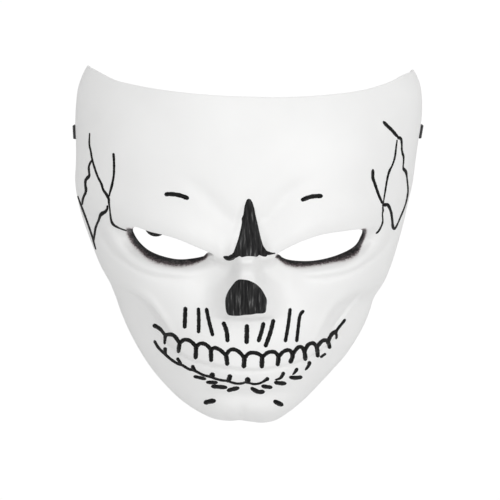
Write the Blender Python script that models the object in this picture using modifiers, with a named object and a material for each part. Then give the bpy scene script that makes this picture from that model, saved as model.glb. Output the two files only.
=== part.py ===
"""A full-face skull mask: one moulded plastic shell and the flat elastic strap that holds it on.

The mask lies on its rim with its face up. X runs to the viewer's right, Y up the face towards the
forehead, Z out of the face. The origin is under the middle of the mask, on the surface it lies on.

The shell is one thin wall, Z = form(X, Y), that falls to a rim all round. It is laid out on a flat
pattern, on which every meridian from the middle of the face to the rim is unrolled to its true
length. The pattern is trimmed along the forehead and pierced by the eyes and the strap's slots.
"""

import math

import bpy
import numpy as np
from mathutils import Vector, geometry

MM = 0.001

# The face's own frame has X = 0 on the nose and Y = 0 at eye level. This is where the middle of the
# mask's box lies in it.
BOX_CENTRE = (0.5, -6.45)

# The rim is moulded this much too deep and then trimmed level, so that it stands on flat faces.
TRIM = 0.15

WALL = 2.0
CENTRE_HEIGHT = 4.0
FLANGE_SHARE = 0.07
FRONT_POWER = 4.0
SIDE_POWER = 2.1
TYPICAL_RADIUS = 84.0
TYPICAL_DEPTH = 60.0

# The widest line of the shell, seen from the front, from the middle of the chin up each side. Above
# the forehead's cut, the last rows only close the dome that the forehead is a part of.
OUTLINE_RIGHT = (
    (2.0, -97.6),
    (8.0, -98.2),
    (14.5, -97.0),
    (19.8, -94.0),
    (25.4, -90.0),
    (31.8, -84.7),
    (38.6, -78.2),
    (45.2, -71.7),
    (51.3, -65.3),
    (56.8, -57.3),
    (61.0, -49.6),
    (64.0, -41.8),
    (65.9, -35.4),
    (68.8, -30.5),
    (71.7, -25.3),
    (75.1, -16.4),
    (78.2, -5.8),
    (81.1, 6.0),
    (83.2, 16.0),
    (85.3, 26.0),
    (86.5, 36.0),
    (87.8, 46.0),
    (89.3, 56.0),
    (89.8, 66.0),
    (88.9, 75.2),
    (85.2, 83.4),
    (76.0, 97.0),
    (57.0, 111.0),
    (32.0, 120.0),
    (8.0, 123.0),
)
OUTLINE_LEFT = (
    (-4.0, -96.9),
    (-10.0, -97.2),
    (-18.4, -95.8),
    (-27.8, -91.2),
    (-35.8, -85.8),
    (-43.0, -79.3),
    (-49.0, -72.9),
    (-54.1, -66.2),
    (-59.0, -58.0),
    (-62.8, -50.2),
    (-66.0, -42.2),
    (-67.9, -36.2),
    (-69.5, -31.7),
    (-71.6, -26.2),
    (-76.2, -17.4),
    (-80.4, -6.4),
    (-84.5, 5.6),
    (-87.1, 15.8),
    (-88.5, 26.0),
    (-88.0, 36.0),
    (-87.9, 46.0),
    (-88.2, 56.0),
    (-87.7, 66.0),
    (-86.4, 75.2),
    (-81.9, 85.2),
    (-73.0, 97.0),
    (-54.0, 111.0),
    (-30.0, 120.0),
    (-8.0, 123.0),
)

# The rim's own height above the table, against the height on the face. It rests along the jaw and
# at the two top corners, arches over the strap, and lifts under the chin.
RIM = (
    (-97.0, 15.0),
    (-88.0, 11.5),
    (-76.0, 5.0),
    (-62.0, 0.0),
    (-34.0, 0.0),
    (-12.0, 1.6),
    (20.0, 3.4),
    (50.0, 3.6),
    (66.0, 2.5),
    (76.0, 0.0),
    (125.0, 0.0),
)

# The face's profile without its features: height, how far forward, how fast it falls sideways.
PROFILE = (
    (-100.0, 49.0, 0.0095),
    (-88.0, 58.5, 0.0090),
    (-74.0, 61.5, 0.0080),
    (-56.0, 63.0, 0.0066),
    (-38.0, 63.0, 0.0052),
    (-20.0, 63.5, 0.0042),
    (0.0, 65.5, 0.0036),
    (20.0, 68.5, 0.0034),
    (42.0, 68.0, 0.0034),
    (74.0, 62.5, 0.0034),
    (125.0, 44.0, 0.0030),
)

# The brow's lower edge: distance from the middle, its height on the left and on the right.
BROW_EDGE = (
    (0.0, -5.6, -5.6),
    (12.0, -5.4, -5.0),
    (16.0, -4.3, -3.2),
    (20.5, -2.1, -0.6),
    (25.0, -0.2, 1.8),
    (30.0, 1.9, 3.7),
    (36.0, 3.9, 5.3),
    (43.0, 5.6, 6.3),
    (50.0, 6.8, 6.8),
    (57.0, 7.4, 6.9),
    (64.0, 8.4, 7.9),
    (72.0, 11.0, 10.5),
    (90.0, 18.0, 18.0),
)
BROW_SWELL = ((0.0, 2.2), (7.0, 3.2), (14.0, 5.2), (26.0, 5.2), (42.0, 4.4), (58.0, 3.6), (74.0, 1.2), (90.0, 0.0))

# How far below the brow's edge its underside runs before it meets the socket.
SHELF_RUN = ((0.0, 8.0), (10.0, 7.0), (18.0, 4.0), (54.0, 4.0), (64.0, 9.0), (76.0, 14.0), (90.0, 16.0))

# The crease that rings the eye socket from below: distance from the middle, height.
SOCKET_CREASE = (
    (0.0, -17.4),
    (20.0, -16.2),
    (28.0, -17.0),
    (37.0, -17.2),
    (47.0, -16.4),
    (54.7, -14.4),
    (60.0, -12.0),
    (64.5, -9.4),
    (68.5, -6.6),
    (72.0, -2.9),
    (75.5, 1.5),
    (79.0, 8.0),
    (90.0, 30.0),
)

# The cheekbone's lower edge: distance from the middle, its height on the left and on the right.
CHEEK_EDGE = (
    (0.0, -64.0, -64.0),
    (32.0, -57.0, -56.0),
    (36.0, -49.5, -46.0),
    (39.0, -44.8, -40.0),
    (41.4, -41.0, -36.4),
    (44.2, -37.5, -32.8),
    (47.7, -33.3, -30.4),
    (51.3, -30.6, -28.8),
    (55.1, -28.1, -28.1),
    (61.3, -26.1, -27.6),
    (67.6, -24.9, -26.2),
    (90.0, -24.0, -25.0),
)

# A fold in the hollow of the cheek, from the mouth's corner up to the cheekbone: distance, height on
# the left and on the right.
CHEEK_FOLD = (
    (30.0, -62.0, -63.0),
    (43.5, -45.0, -45.0),
    (46.2, -41.4, -41.6),
    (49.3, -37.8, -37.9),
    (51.3, -35.6, -35.2),
    (53.9, -33.0, -32.1),
    (56.0, -31.2, -29.4),
    (58.2, -29.4, -26.9),
    (66.0, -24.0, -18.0),
)

# The line between the upper and the lower teeth: place across the face, height.
MOUTH_LINE = (
    (-60.0, -38.0),
    (-41.0, -50.4),
    (-33.0, -54.7),
    (-26.0, -57.2),
    (-17.0, -59.2),
    (-9.0, -60.6),
    (0.0, -61.4),
    (8.0, -61.2),
    (16.0, -60.1),
    (25.0, -58.4),
    (33.0, -56.2),
    (41.0, -53.0),
    (46.6, -49.4),
    (60.0, -38.0),
)

# The nose: height, how far it stands out, half its width.
NOSE = (
    (-41.0, 0.0, 11.0),
    (-37.0, 2.5, 13.0),
    (-34.0, 10.5, 13.0),
    (-30.0, 15.5, 12.2),
    (-26.0, 16.2, 11.2),
    (-20.0, 13.2, 9.2),
    (-13.0, 9.8, 6.4),
    (-7.0, 7.8, 5.4),
    (0.0, 3.6, 5.4),
    (8.0, 0.0, 7.0),
)

# The eye openings, seen from the front. Each starts at the inner corner, runs out along the brow
# and comes back along the lower lid.
LEFT_EYE = (
    (-16.3, -4.2),
    (-20.6, -2.0),
    (-25.5, 0.0),
    (-32.9, 3.0),
    (-40.4, 5.0),
    (-47.9, 6.3),
    (-54.0, 8.0),
    (-56.6, 8.0),
    (-57.2, 6.0),
    (-56.6, 2.4),
    (-54.2, -1.0),
    (-49.6, -4.4),
    (-43.0, -6.8),
    (-34.3, -8.1),
    (-25.8, -7.2),
    (-20.6, -5.8),
)
RIGHT_EYE = (
    (14.1, -4.2),
    (18.7, -1.3),
    (23.6, 1.2),
    (28.5, 3.2),
    (36.0, 5.4),
    (43.4, 6.3),
    (51.0, 6.7),
    (56.6, 6.6),
    (57.9, 5.0),
    (57.1, 1.0),
    (54.9, -2.2),
    (50.4, -4.8),
    (43.8, -7.0),
    (36.3, -8.4),
    (28.8, -8.7),
    (21.3, -7.9),
    (16.8, -6.2),
)

# The forehead's cut, seen from the front, between the two top corners: left to right.
FOREHEAD_CUT = (
    (-81.8, 85.2),
    (-78.2, 84.4),
    (-71.6, 81.8),
    (-65.7, 79.6),
    (-57.7, 78.2),
    (-47.6, 76.7),
    (-32.7, 75.1),
    (-18.0, 74.0),
    (0.0, 73.3),
    (21.0, 73.0),
    (40.6, 73.8),
    (55.5, 75.1),
    (65.8, 77.0),
    (73.8, 79.2),
    (79.5, 81.6),
    (84.9, 82.8),
)
CORNER_ROUND = 3.0

# The slot in each temple that the elastic strap is threaded through.
SLOT_LENGTH = 9.0
SLOT_WIDTH = 2.6
SLOT_PLACE = (87.5, 51.0)
SLOT_ABOVE_RIM = 5.6

# The strap. Each end goes under the rim, in through the slot and back along the strap, where it is
# sewn down. Between the slots it lies in a loose loop: place, and how far it leans on its edge.
STRAP_WIDTH = 7.0
STRAP_THICK = 1.0
STRAP_GAP = 0.5
STRAP_LIFT = 0.35
STRAP_END = 14.0
STRAP_TURN = 1.3
STRAP_STEP = 3.2
STRAP_ROUTE = (
    (-65.5, 47.0, 8.0),
    (-58.5, 36.0, 34.0),
    (-55.5, 22.0, 58.0),
    (-53.6, 8.0, 64.0),
    (-51.4, 1.0, 62.0),
    (-48.4, -1.6, 60.0),
    (-44.6, -0.6, 62.0),
    (-41.6, 6.0, 64.0),
    (-38.0, 20.0, 60.0),
    (-31.0, 36.0, 56.0),
    (-18.0, 47.0, 52.0),
    (0.0, 52.0, 48.0),
    (20.0, 48.0, 52.0),
    (37.0, 38.0, 56.0),
    (50.0, 34.0, 44.0),
    (60.0, 39.0, 20.0),
    (66.5, 47.0, 5.0),
)

# The spacing of the mesh's points, and the range of bend that it serves, finest first.
SPACINGS = ((2.3, 0.7, 99.0), (4.0, 0.17, 0.7), (6.8, 0.0, 0.17))
BEND_WAYS = ((2.0, 0.0), (0.0, 2.0), (1.4, 1.4), (1.4, -1.4))
EDGE_STEP = 2.6


def table(x, rows, column=1):
    """A smooth curve through a table's rows that never overshoots them (monotone cubic pieces)."""
    knots = np.array([row[0] for row in rows])
    values = np.array([row[column] for row in rows])
    widths = np.diff(knots)
    slopes = np.diff(values) / widths
    tangents = np.zeros(len(knots))
    same_way = slopes[:-1] * slopes[1:] > 0
    total = np.where(same_way, slopes[:-1] + slopes[1:], 1.0)
    tangents[1:-1] = np.where(same_way, 2 * slopes[:-1] * slopes[1:] / total, 0.0)
    tangents[0], tangents[-1] = slopes[0], slopes[-1]
    x = np.clip(x, knots[0], knots[-1])
    i = np.clip(np.searchsorted(knots, x) - 1, 0, len(widths) - 1)
    t = (x - knots[i]) / widths[i]
    start = values[i] * (1 + 2 * t) * (1 - t) ** 2 + tangents[i] * widths[i] * t * (1 - t) ** 2
    end = values[i + 1] * t**2 * (3 - 2 * t) + tangents[i + 1] * widths[i] * t**2 * (t - 1)
    return start + end


def step(x):
    """0 below 0, 1 above 1, and smooth between."""
    x = np.clip(x, 0.0, 1.0)
    return x * x * (3 - 2 * x)


def bell(x, power=2):
    return np.exp(-(np.abs(x) ** power))


def smooth_loop(points, per_piece=12, closed=True):
    """A Catmull-Rom curve through the points, as an array of closely spaced points."""
    points = np.array(points, float)
    if closed:
        padded = np.vstack([points[-1:], points, points[:2]])
    else:
        padded = np.vstack([2 * points[0] - points[1], points, 2 * points[-1] - points[-2]])
    t = np.linspace(0, 1, per_piece, endpoint=False)[:, None]
    pieces = []
    for a, b, c, d in zip(padded, padded[1:], padded[2:], padded[3:]):
        pieces.append(
            0.5 * (2 * b + (c - a) * t + (2 * a - 5 * b + 4 * c - d) * t**2 + (3 * b - a - 3 * c + d) * t**3)
        )
    if not closed:
        pieces.append(points[-1:])
    return np.vstack(pieces)


def respaced(points, spacing, closed=True):
    """The same line with its points an even distance apart."""
    if closed:
        points = np.vstack([points, points[:1]])
    run = np.concatenate([[0.0], np.cumsum(np.linalg.norm(np.diff(points, axis=0), axis=1))])
    count = max(8, int(round(run[-1] / spacing)))
    at = np.linspace(0, run[-1], count, endpoint=not closed)
    return np.stack([np.interp(at, run, points[:, k]) for k in range(points.shape[1])], axis=1)


def outline_by_angle():
    """The outline as angle and radius about the middle of the face, for interpolation."""
    loop = smooth_loop(OUTLINE_RIGHT + OUTLINE_LEFT[::-1], 24)
    angle = np.arctan2(loop[:, 1] - CENTRE_HEIGHT, loop[:, 0])
    order = np.argsort(angle)
    radius = np.hypot(loop[:, 0], loop[:, 1] - CENTRE_HEIGHT)[order]
    angle = angle[order]
    return (
        np.concatenate([angle[-1:] - 2 * math.pi, angle, angle[:1] + 2 * math.pi]),
        np.concatenate([radius[-1:], radius, radius[:1]]),
    )


OUTLINE_ANGLE, OUTLINE_RADIUS = outline_by_angle()


def outline_radius(angle):
    return np.interp((angle + math.pi) % (2 * math.pi) - math.pi, OUTLINE_ANGLE, OUTLINE_RADIUS)


def meridian():
    """One meridian from the middle to the rim: share of its length, of the radius, of the depth.

    It is a superellipse that ends in a short straight flange."""
    turn = np.linspace(0, math.pi / 2, 1500)
    reach = np.sin(turn) ** (2 / FRONT_POWER)
    fall = FLANGE_SHARE + (1 - FLANGE_SHARE) * np.cos(turn) ** (2 / SIDE_POWER)
    reach = np.append(reach, 1.0)
    fall = np.append(fall, 0.0)
    run = np.cumsum(np.hypot(np.diff(reach) * TYPICAL_RADIUS, np.diff(fall) * TYPICAL_DEPTH))
    run = np.concatenate([[0.0], run])
    return run / run[-1], reach, fall, run[-1] / TYPICAL_RADIUS


RUN, REACH, FALL, STRETCH = meridian()


def front(x, y):
    """How far forward the face stands at (x, y), before its edges fall back to the rim."""
    side = np.abs(x)
    z = table(y, PROFILE) - table(y, PROFILE, 2) * side**2
    above = y - np.where(x < 0, table(side, BROW_EDGE, 1), table(side, BROW_EDGE, 2))

    # The brow swells above its lower edge and frowns over the nose.
    z += table(side, BROW_SWELL) * bell((above - 3.5) / 10.5) * step((above + 4.0) / 4.0)
    frown = side - (8.5 + 0.95 * (y - 13.0))
    z -= 1.2 * bell(frown * 0.72 / 4.4) * step((y - 8.0) / 7.0) * step((38.0 - y) / 12.0)
    wedge = 1.5 + np.clip(24.0 - y, 0.0, 30.0) * 0.30
    z -= 1.6 * bell(x / wedge, 4) * step((25.0 - y) / 8.0) * step((above + 1.0) / 2.0)

    # The eye sockets sink back under the brow, over a soft roll with a crease below it.
    pit = np.sqrt(((side - 37.0) / 32.0) ** 2 + ((y - 2.0) / 17.5) ** 2)
    under = step((-0.9 - above) / table(side, SHELF_RUN))
    z -= 9.5 * under * (1 - step((pit - 0.45) / 0.6))
    z -= 5.0 * under * bell(x / 17.0, 4) * bell((y + 9.0) / 7.5)
    ring = (y - table(side, SOCKET_CREASE)) * (0.55 + 0.45 * step((70.0 - side) / 14.0))
    shown = step((side - 24.0) / 16.0) * step((78.0 - side) / 8.0)
    z -= 1.7 * bell(ring / 1.5) * shown
    z += 2.3 * bell((ring - 5.0) / 3.2) * shown

    # The cheekbones stand out, and the cheeks are hollow beneath them.
    z += 5.0 * bell((side - 58.0) / 20.0) * bell((y + 22.0) / 12.0)
    below = np.where(x < 0, table(side, CHEEK_EDGE, 1), table(side, CHEEK_EDGE, 2)) - y
    hollow = bell((side - 57.0) / 18.0, 3) * bell((y + 42.0) / 24.0, 3)
    z -= np.where(x < 0, 5.2 * step((below + 0.6) / 2.6), 3.0 * step((below + 2.0) / 6.0)) * hollow
    z -= 5.5 * step((below + 2.0) / 12.0) * hollow
    z += np.where(x < 0, 1.8, 0.9) * bell((below + 3.2) / 3.4) * hollow
    fold = y - np.where(x < 0, table(side, CHEEK_FOLD, 1), table(side, CHEEK_FOLD, 2))
    z -= np.where(x < 0, 1.3, 2.3) * bell(fold / 2.1) * step((side - 40.0) / 5.0) * step((60.0 - side) / 5.0)
    z -= 3.4 * bell((side - 20.5) / 8.5) * bell((y + 18.0) / 13.0)

    # The nose.
    z += table(y, NOSE) * bell(x / table(y, NOSE, 2), 2.3 + 1.5 * step((y + 22.0) / 8.0))

    # The teeth bulge forward, the mouth is a groove, and the lower row stands a little back.
    z += 6.0 * bell(x / 43.0, 4) * bell((y + 57.0) / 19.0, 4)
    mouth = table(x, MOUTH_LINE)
    z -= 2.2 * bell((y - mouth) / 1.05) * step((50.0 - side) / 10.0)
    z -= 1.8 * step((mouth - y + 0.6) / 2.2) * step((y + 82.0) / 12.0) * bell(x / 46.0, 4)

    # The chin: a fold under the lower row, a boss, and a cleft.
    z -= 2.4 * bell((y + 78.0) / 4.6) * bell(x / 26.0, 4)
    z += 3.6 * bell((y + 88.0) / 7.5) * bell(x / 22.0, 4)
    z -= 1.5 * bell((x + 3.2) / 2.2) * step((-80.0 - y) / 8.0)
    return z


def to_pattern(x, y):
    """The point of the flat pattern that lies at (x, y) seen from the front."""
    angle = np.arctan2(y - CENTRE_HEIGHT, x)
    radius = outline_radius(angle)
    share = np.clip(np.hypot(x, y - CENTRE_HEIGHT) / radius, 0.0, 1.0)
    length = np.interp(share, REACH[:-1], RUN[:-1]) * radius * STRETCH
    return np.stack([length * np.cos(angle), length * np.sin(angle)], axis=1)


def shell_points(pattern):
    """The shell's outer surface over points of the pattern, in the face's own frame."""
    angle = np.arctan2(pattern[:, 1], pattern[:, 0])
    radius = outline_radius(angle)
    run = np.clip(np.hypot(pattern[:, 0], pattern[:, 1]) / (radius * STRETCH), 0.0, 1.0)
    share = np.interp(run, RUN, REACH) * radius
    x = share * np.cos(angle)
    y = share * np.sin(angle) + CENTRE_HEIGHT
    rim = table(y, RIM)
    z = rim + (front(x, y) - rim) * np.interp(run, RUN, FALL)
    return np.stack([x, y, z], axis=1)


def rim_pattern(start, end, count=400):
    """The pattern's outer edge between two angles."""
    angle = np.linspace(start, end, count)
    length = outline_radius(angle) * STRETCH
    return np.stack([length * np.cos(angle), length * np.sin(angle)], axis=1)


def rounded(loop, size, passes=30):
    """A closed loop whose sharp corners are eased, by averaging each point with its neighbours."""
    loop = respaced(loop, size / 3)
    for _ in range(passes):
        loop = 0.5 * loop + 0.25 * (np.roll(loop, 1, axis=0) + np.roll(loop, -1, axis=0))
    return loop


def shell_edge():
    """The trimmed edge of the pattern: the forehead's cut, then the rim round by the chin."""
    cut = smooth_loop(FOREHEAD_CUT, closed=False)
    cut = to_pattern(cut[:, 0], cut[:, 1])
    right = math.atan2(cut[-1, 1], cut[-1, 0])
    left = math.atan2(cut[0, 1], cut[0, 0])
    rim = rim_pattern(right, left - 2 * math.pi)
    return rounded(np.vstack([cut[1:-1], rim]), CORNER_ROUND, 12)


def eye_edge(corners):
    loop = smooth_loop(corners)
    return rounded(to_pattern(loop[:, 0], loop[:, 1]), 1.2, 6)


def rim_point(angle, above):
    """The pattern's point that lies a true height above the rim on each meridian."""
    near = np.linspace(0.0, 24.0, 97)
    out = np.stack([np.cos(angle), np.sin(angle)], axis=-1)
    found = []
    for direction, turn, height in zip(np.atleast_2d(out), np.atleast_1d(angle), np.atleast_1d(above)):
        length = float(outline_radius(turn)) * STRETCH
        place = shell_points(direction * (length - near)[:, None])
        found.append(direction * (length - np.interp(height, place[:, 2] - place[0, 2], near)))
    return np.array(found)


def slot_angle(side):
    """The slot's direction from the middle of the face, and the rim's length per radian there."""
    angle = math.atan2(SLOT_PLACE[1] - CENTRE_HEIGHT, SLOT_PLACE[0] * side)
    ends = np.array([angle - 0.01, angle + 0.01])
    ends = outline_radius(ends)[:, None] * np.stack([np.cos(ends), np.sin(ends)], axis=1)
    return angle, np.linalg.norm(ends[1] - ends[0]) / 0.02


def slot_edge(side):
    """A slot with round ends, along the rim."""
    turn = np.linspace(0, 2 * math.pi, 20, endpoint=False)
    radius = SLOT_WIDTH / 2
    along = np.cos(turn) * radius + np.sign(np.cos(turn)) * (SLOT_LENGTH / 2 - radius)
    angle, speed = slot_angle(side)
    return rim_point(angle + along / speed, SLOT_ABOVE_RIM + np.sin(turn) * radius)


def inside(points, loop):
    """Which points lie inside a closed loop, by counting the edges that a ray crosses."""
    hit = np.zeros(len(points), bool)
    for (ax, ay), (bx, by) in zip(loop, np.roll(loop, -1, axis=0)):
        spans = (ay > points[:, 1]) != (by > points[:, 1])
        if spans.any():
            cross = ax + (points[:, 1] - ay) * (bx - ax) / (by - ay if by != ay else 1.0)
            hit ^= spans & (points[:, 0] < cross)
    return hit


def lattice(spacing, half):
    """A triangular lattice of points that covers a square."""
    rows = np.arange(-half, half, spacing * math.sqrt(3) / 2)
    columns = np.arange(-half, half, spacing)
    x, y = np.meshgrid(columns, rows)
    x[1::2] += spacing / 2
    return np.stack([x.ravel(), y.ravel()], axis=1)


def clear_of(points, edge_points, distance):
    keep = np.ones(len(points), bool)
    for start in range(0, len(points), 2000):
        part = points[start : start + 2000]
        gap = np.linalg.norm(part[:, None] - edge_points[None], axis=2).min(axis=1)
        keep[start : start + 2000] = gap > distance
    return points[keep]


def bend(points):
    """How far the face departs from flat within 2 mm of each point of the pattern."""
    place = shell_points(points)
    x, y = place[:, 0], place[:, 1]
    middle = 2 * front(x, y)
    turns = [np.abs(front(x + i, y + j) + front(x - i, y - j) - middle) for i, j in BEND_WAYS]
    return np.max(turns, axis=0)


def shell_pattern():
    """The pattern as triangles: its points, and three point numbers for each triangle.

    The points are closest together where the form turns quickest."""
    outer = respaced(shell_edge(), EDGE_STEP * 1.5)
    holes = [respaced(eye_edge(eye), EDGE_STEP) for eye in (LEFT_EYE, RIGHT_EYE)]
    holes += [respaced(slot_edge(side), EDGE_STEP) for side in (-1, 1)]
    edges = np.vstack([outer] + holes)
    taken = edges
    field = np.zeros((0, 2))
    for spacing, lowest, highest in SPACINGS:
        layer = lattice(spacing, 160.0)
        turn = bend(layer)
        layer = layer[(turn >= lowest) & (turn < highest)]
        layer = clear_of(layer, taken, 0.62 * spacing)
        layer = layer[inside(layer, outer)]
        taken = np.vstack([taken, layer])
        field = np.vstack([field, layer])
    keep = inside(field, outer)
    for hole in holes:
        keep &= ~inside(field, hole)
    points = np.vstack([edges, field[keep]])
    links = []
    first = 0
    for loop in [outer] + holes:
        count = len(loop)
        links += [(first + i, first + (i + 1) % count) for i in range(count)]
        first += count
    made = geometry.delaunay_2d_cdt([Vector(p) for p in points], links, [], 0, 1e-6)
    points = np.array([tuple(p) for p in made[0]])
    triangles = np.array(made[2])
    middles = points[triangles].mean(axis=1)
    keep = inside(middles, outer)
    for hole in holes:
        keep &= ~inside(middles, hole)
    return points, triangles[keep]


def placed(points):
    """Points of the face's own frame, in metres in the part's frame."""
    return (points - np.array([BOX_CENTRE[0], BOX_CENTRE[1], TRIM])) * MM


def material(name, colour, roughness):
    made = bpy.data.materials.new(name)
    made.use_nodes = True
    shader = made.node_tree.nodes["Principled BSDF"]
    shader.inputs["Base Color"].default_value = (*colour, 1.0)
    shader.inputs["Roughness"].default_value = roughness
    return made


def surface_object(name, points, faces, thickness, offset, finish, collection):
    """An open surface that a Solidify modifier gives its thickness."""
    mesh = bpy.data.meshes.new(name)
    mesh.from_pydata(placed(points).tolist(), [], faces.tolist())
    mesh.materials.append(finish)
    mesh.shade_smooth()
    made = bpy.data.objects.new(name, mesh)
    collection.objects.link(made)
    wall = made.modifiers.new("wall", "SOLIDIFY")
    wall.thickness = thickness * MM
    wall.offset = offset
    return made


def table_cutter():
    """A slab with its top on the table, which trims the rim level."""
    cutters = bpy.data.collections.new("cutters")
    bpy.context.scene.collection.children.link(cutters)
    corners = [(x, y, z) for z in (-0.02, 0.0) for y in (-0.15, 0.15) for x in (-0.15, 0.15)]
    sides = [(0, 2, 3, 1), (4, 5, 7, 6), (0, 1, 5, 4), (2, 6, 7, 3), (0, 4, 6, 2), (1, 3, 7, 5)]
    mesh = bpy.data.meshes.new("table_cutter")
    mesh.from_pydata(corners, [], sides)
    made = bpy.data.objects.new("table_cutter", mesh)
    made.display_type = "WIRE"
    made.hide_render = True
    cutters.objects.link(made)
    return made


def shell(collection):
    """The moulded shell. Its outer face is the form, and its wall lies inside it."""
    pattern, triangles = shell_pattern()
    points = shell_points(pattern)
    a, b, c = (points[triangles[:, k]] for k in range(3))
    facing = np.cross(b - a, c - a)[:, 2].sum()
    if facing < 0:
        triangles = triangles[:, ::-1]
    white = material("white plastic", (0.86, 0.86, 0.85), 0.45)
    made = surface_object("mask_shell", points, triangles, WALL, -1.0, white, collection)
    trim = made.modifiers.new("level rim", "BOOLEAN")
    trim.operation = "DIFFERENCE"
    trim.solver = "EXACT"
    trim.object = table_cutter()
    return made


def filleted(corners, radius, count=6):
    """A polyline whose corners are turned into arcs."""
    corners = [np.array(c, float) for c in corners]
    points = [corners[0]]
    for before, corner, after in zip(corners, corners[1:], corners[2:]):
        back = (before - corner) / np.linalg.norm(before - corner)
        on = (after - corner) / np.linalg.norm(after - corner)
        half = math.acos(float(np.clip(back @ on, -1, 1))) / 2
        cut = radius / math.tan(half)
        centre = corner + (back + on) / np.linalg.norm(back + on) * radius / math.sin(half)
        start, end = corner + back * cut - centre, corner + on * cut - centre
        for t in np.linspace(0, 1, count):
            arm = start * (1 - t) + end * t
            points.append(centre + arm / np.linalg.norm(arm) * radius)
    points.append(corners[-1])
    return np.array(points)


def strap_loop(side):
    """One end of the strap, from its sewn end to where it lies flat under the rim, and its width's way."""
    angle, speed = slot_angle(side)
    base = shell_points(rim_point(angle, SLOT_ABOVE_RIM))[0]
    along = shell_points(rim_point(np.array([angle - 1 / speed, angle + 1 / speed]), np.full(2, SLOT_ABOVE_RIM)))
    along = along[1, :2] - along[0, :2]
    along /= np.linalg.norm(along)
    if along[1] < 0:
        along = -along
    out = np.array([along[1], -along[0]]) * side
    low = STRAP_LIFT + STRAP_THICK / 2
    inner = -WALL - STRAP_GAP - STRAP_THICK / 2
    outer = STRAP_GAP + STRAP_THICK / 2
    sewn = low + STRAP_THICK + STRAP_GAP
    corners = (
        (-STRAP_END, sewn),
        (inner, sewn),
        (inner, base[2]),
        (outer, base[2]),
        (outer, low),
        (-STRAP_END, low),
    )
    path = filleted(corners, STRAP_TURN)
    points = np.column_stack([base[:2] + path[:, :1] * out, path[:, 1]])
    ways = np.tile(np.append(along, 0.0), (len(points), 1))
    return points, ways


def strap_path():
    """The middle line of the strap from end to end, and the way its width runs at each point."""
    left, left_ways = strap_loop(-1)
    right, right_ways = strap_loop(1)
    route = [tuple(left[-1, :2]) + (0.0,)] + list(STRAP_ROUTE) + [tuple(right[-1, :2]) + (0.0,)]
    loop = respaced(smooth_loop(route, closed=False), STRAP_STEP, closed=False)[1:-1]
    lean = np.radians(np.clip(loop[:, 2], 0.0, 90.0))
    ahead = np.gradient(loop[:, :2], axis=0)
    ahead /= np.linalg.norm(ahead, axis=1)[:, None]
    across = np.stack([-ahead[:, 1], ahead[:, 0]], axis=1)
    ways = np.column_stack([across * np.cos(lean)[:, None], np.sin(lean)])
    half_width, half_thick = STRAP_WIDTH / 2, STRAP_THICK / 2
    height = STRAP_LIFT + half_width * np.sin(lean) + half_thick * np.cos(lean)
    middle = np.column_stack([loop[:, :2], height])
    return np.vstack([left, middle, right[::-1]]), np.vstack([left_ways, ways, right_ways[::-1]])


def strap(collection):
    """The flat black elastic, as a ribbon that is given its thickness."""
    middle, ways = strap_path()
    points = np.vstack([middle + ways * STRAP_WIDTH / 2, middle - ways * STRAP_WIDTH / 2])
    count = len(middle)
    i = np.arange(count - 1)
    faces = np.stack([i, i + 1, i + 1 + count, i + count], axis=1)
    black = material("black elastic", (0.02, 0.02, 0.022), 0.85)
    return surface_object("elastic_strap", points, faces, STRAP_THICK, 0.0, black, collection)


def main():
    for old in list(bpy.data.objects):
        bpy.data.objects.remove(old, do_unlink=True)
    collection = bpy.data.collections.new("skull mask")
    bpy.context.scene.collection.children.link(collection)
    shell(collection)
    strap(collection)


main()
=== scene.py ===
"""A full-face skull mask for the theatre or carnival, lying face up on a pale table.

Lengths are in millimetres in the face's own frame, which has X = 0 on the nose and Y = 0 at eye
level, and become metres in the shared frame only where a mesh is made.
"""

import math

import bpy
import numpy as np
from mathutils import Matrix, Vector


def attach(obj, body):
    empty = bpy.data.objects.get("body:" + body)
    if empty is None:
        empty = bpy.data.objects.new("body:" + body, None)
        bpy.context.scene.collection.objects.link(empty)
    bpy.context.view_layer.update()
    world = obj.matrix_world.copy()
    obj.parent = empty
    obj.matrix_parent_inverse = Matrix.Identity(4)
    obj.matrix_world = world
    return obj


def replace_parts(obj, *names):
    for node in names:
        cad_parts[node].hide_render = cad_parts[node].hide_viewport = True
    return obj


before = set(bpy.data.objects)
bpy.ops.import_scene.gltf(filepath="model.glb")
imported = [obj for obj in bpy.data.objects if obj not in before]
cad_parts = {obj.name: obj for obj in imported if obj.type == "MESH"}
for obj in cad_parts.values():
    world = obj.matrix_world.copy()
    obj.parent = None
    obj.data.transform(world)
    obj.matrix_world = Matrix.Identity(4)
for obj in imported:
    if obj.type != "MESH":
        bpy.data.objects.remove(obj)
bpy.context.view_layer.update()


# The camera
# It looks down on the mask from a little above the forehead, from as far off as a short telephoto
# lens would stand. Its picture is 500 pixels square, and shows 250 mm at the mask's middle height.

PHOTO_SIZE = 500
PHOTO_FIELD = 250.0
CAMERA_DISTANCE = 1100.0
CAMERA_TILT = math.radians(8.0)
CAMERA_TARGET = (1.5, -4.6, 45.0)
SENSOR_WIDTH = 36.0

# One millimetre in metres, and the shared frame's origin in the face's own frame.
MM = 0.001
FRAME_ORIGIN = (0.5, -6.45, 0.15)


def placed(points):
    """Points of the face's own frame, in metres in the shared frame."""
    return (points - np.array(FRAME_ORIGIN)) * MM


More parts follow.
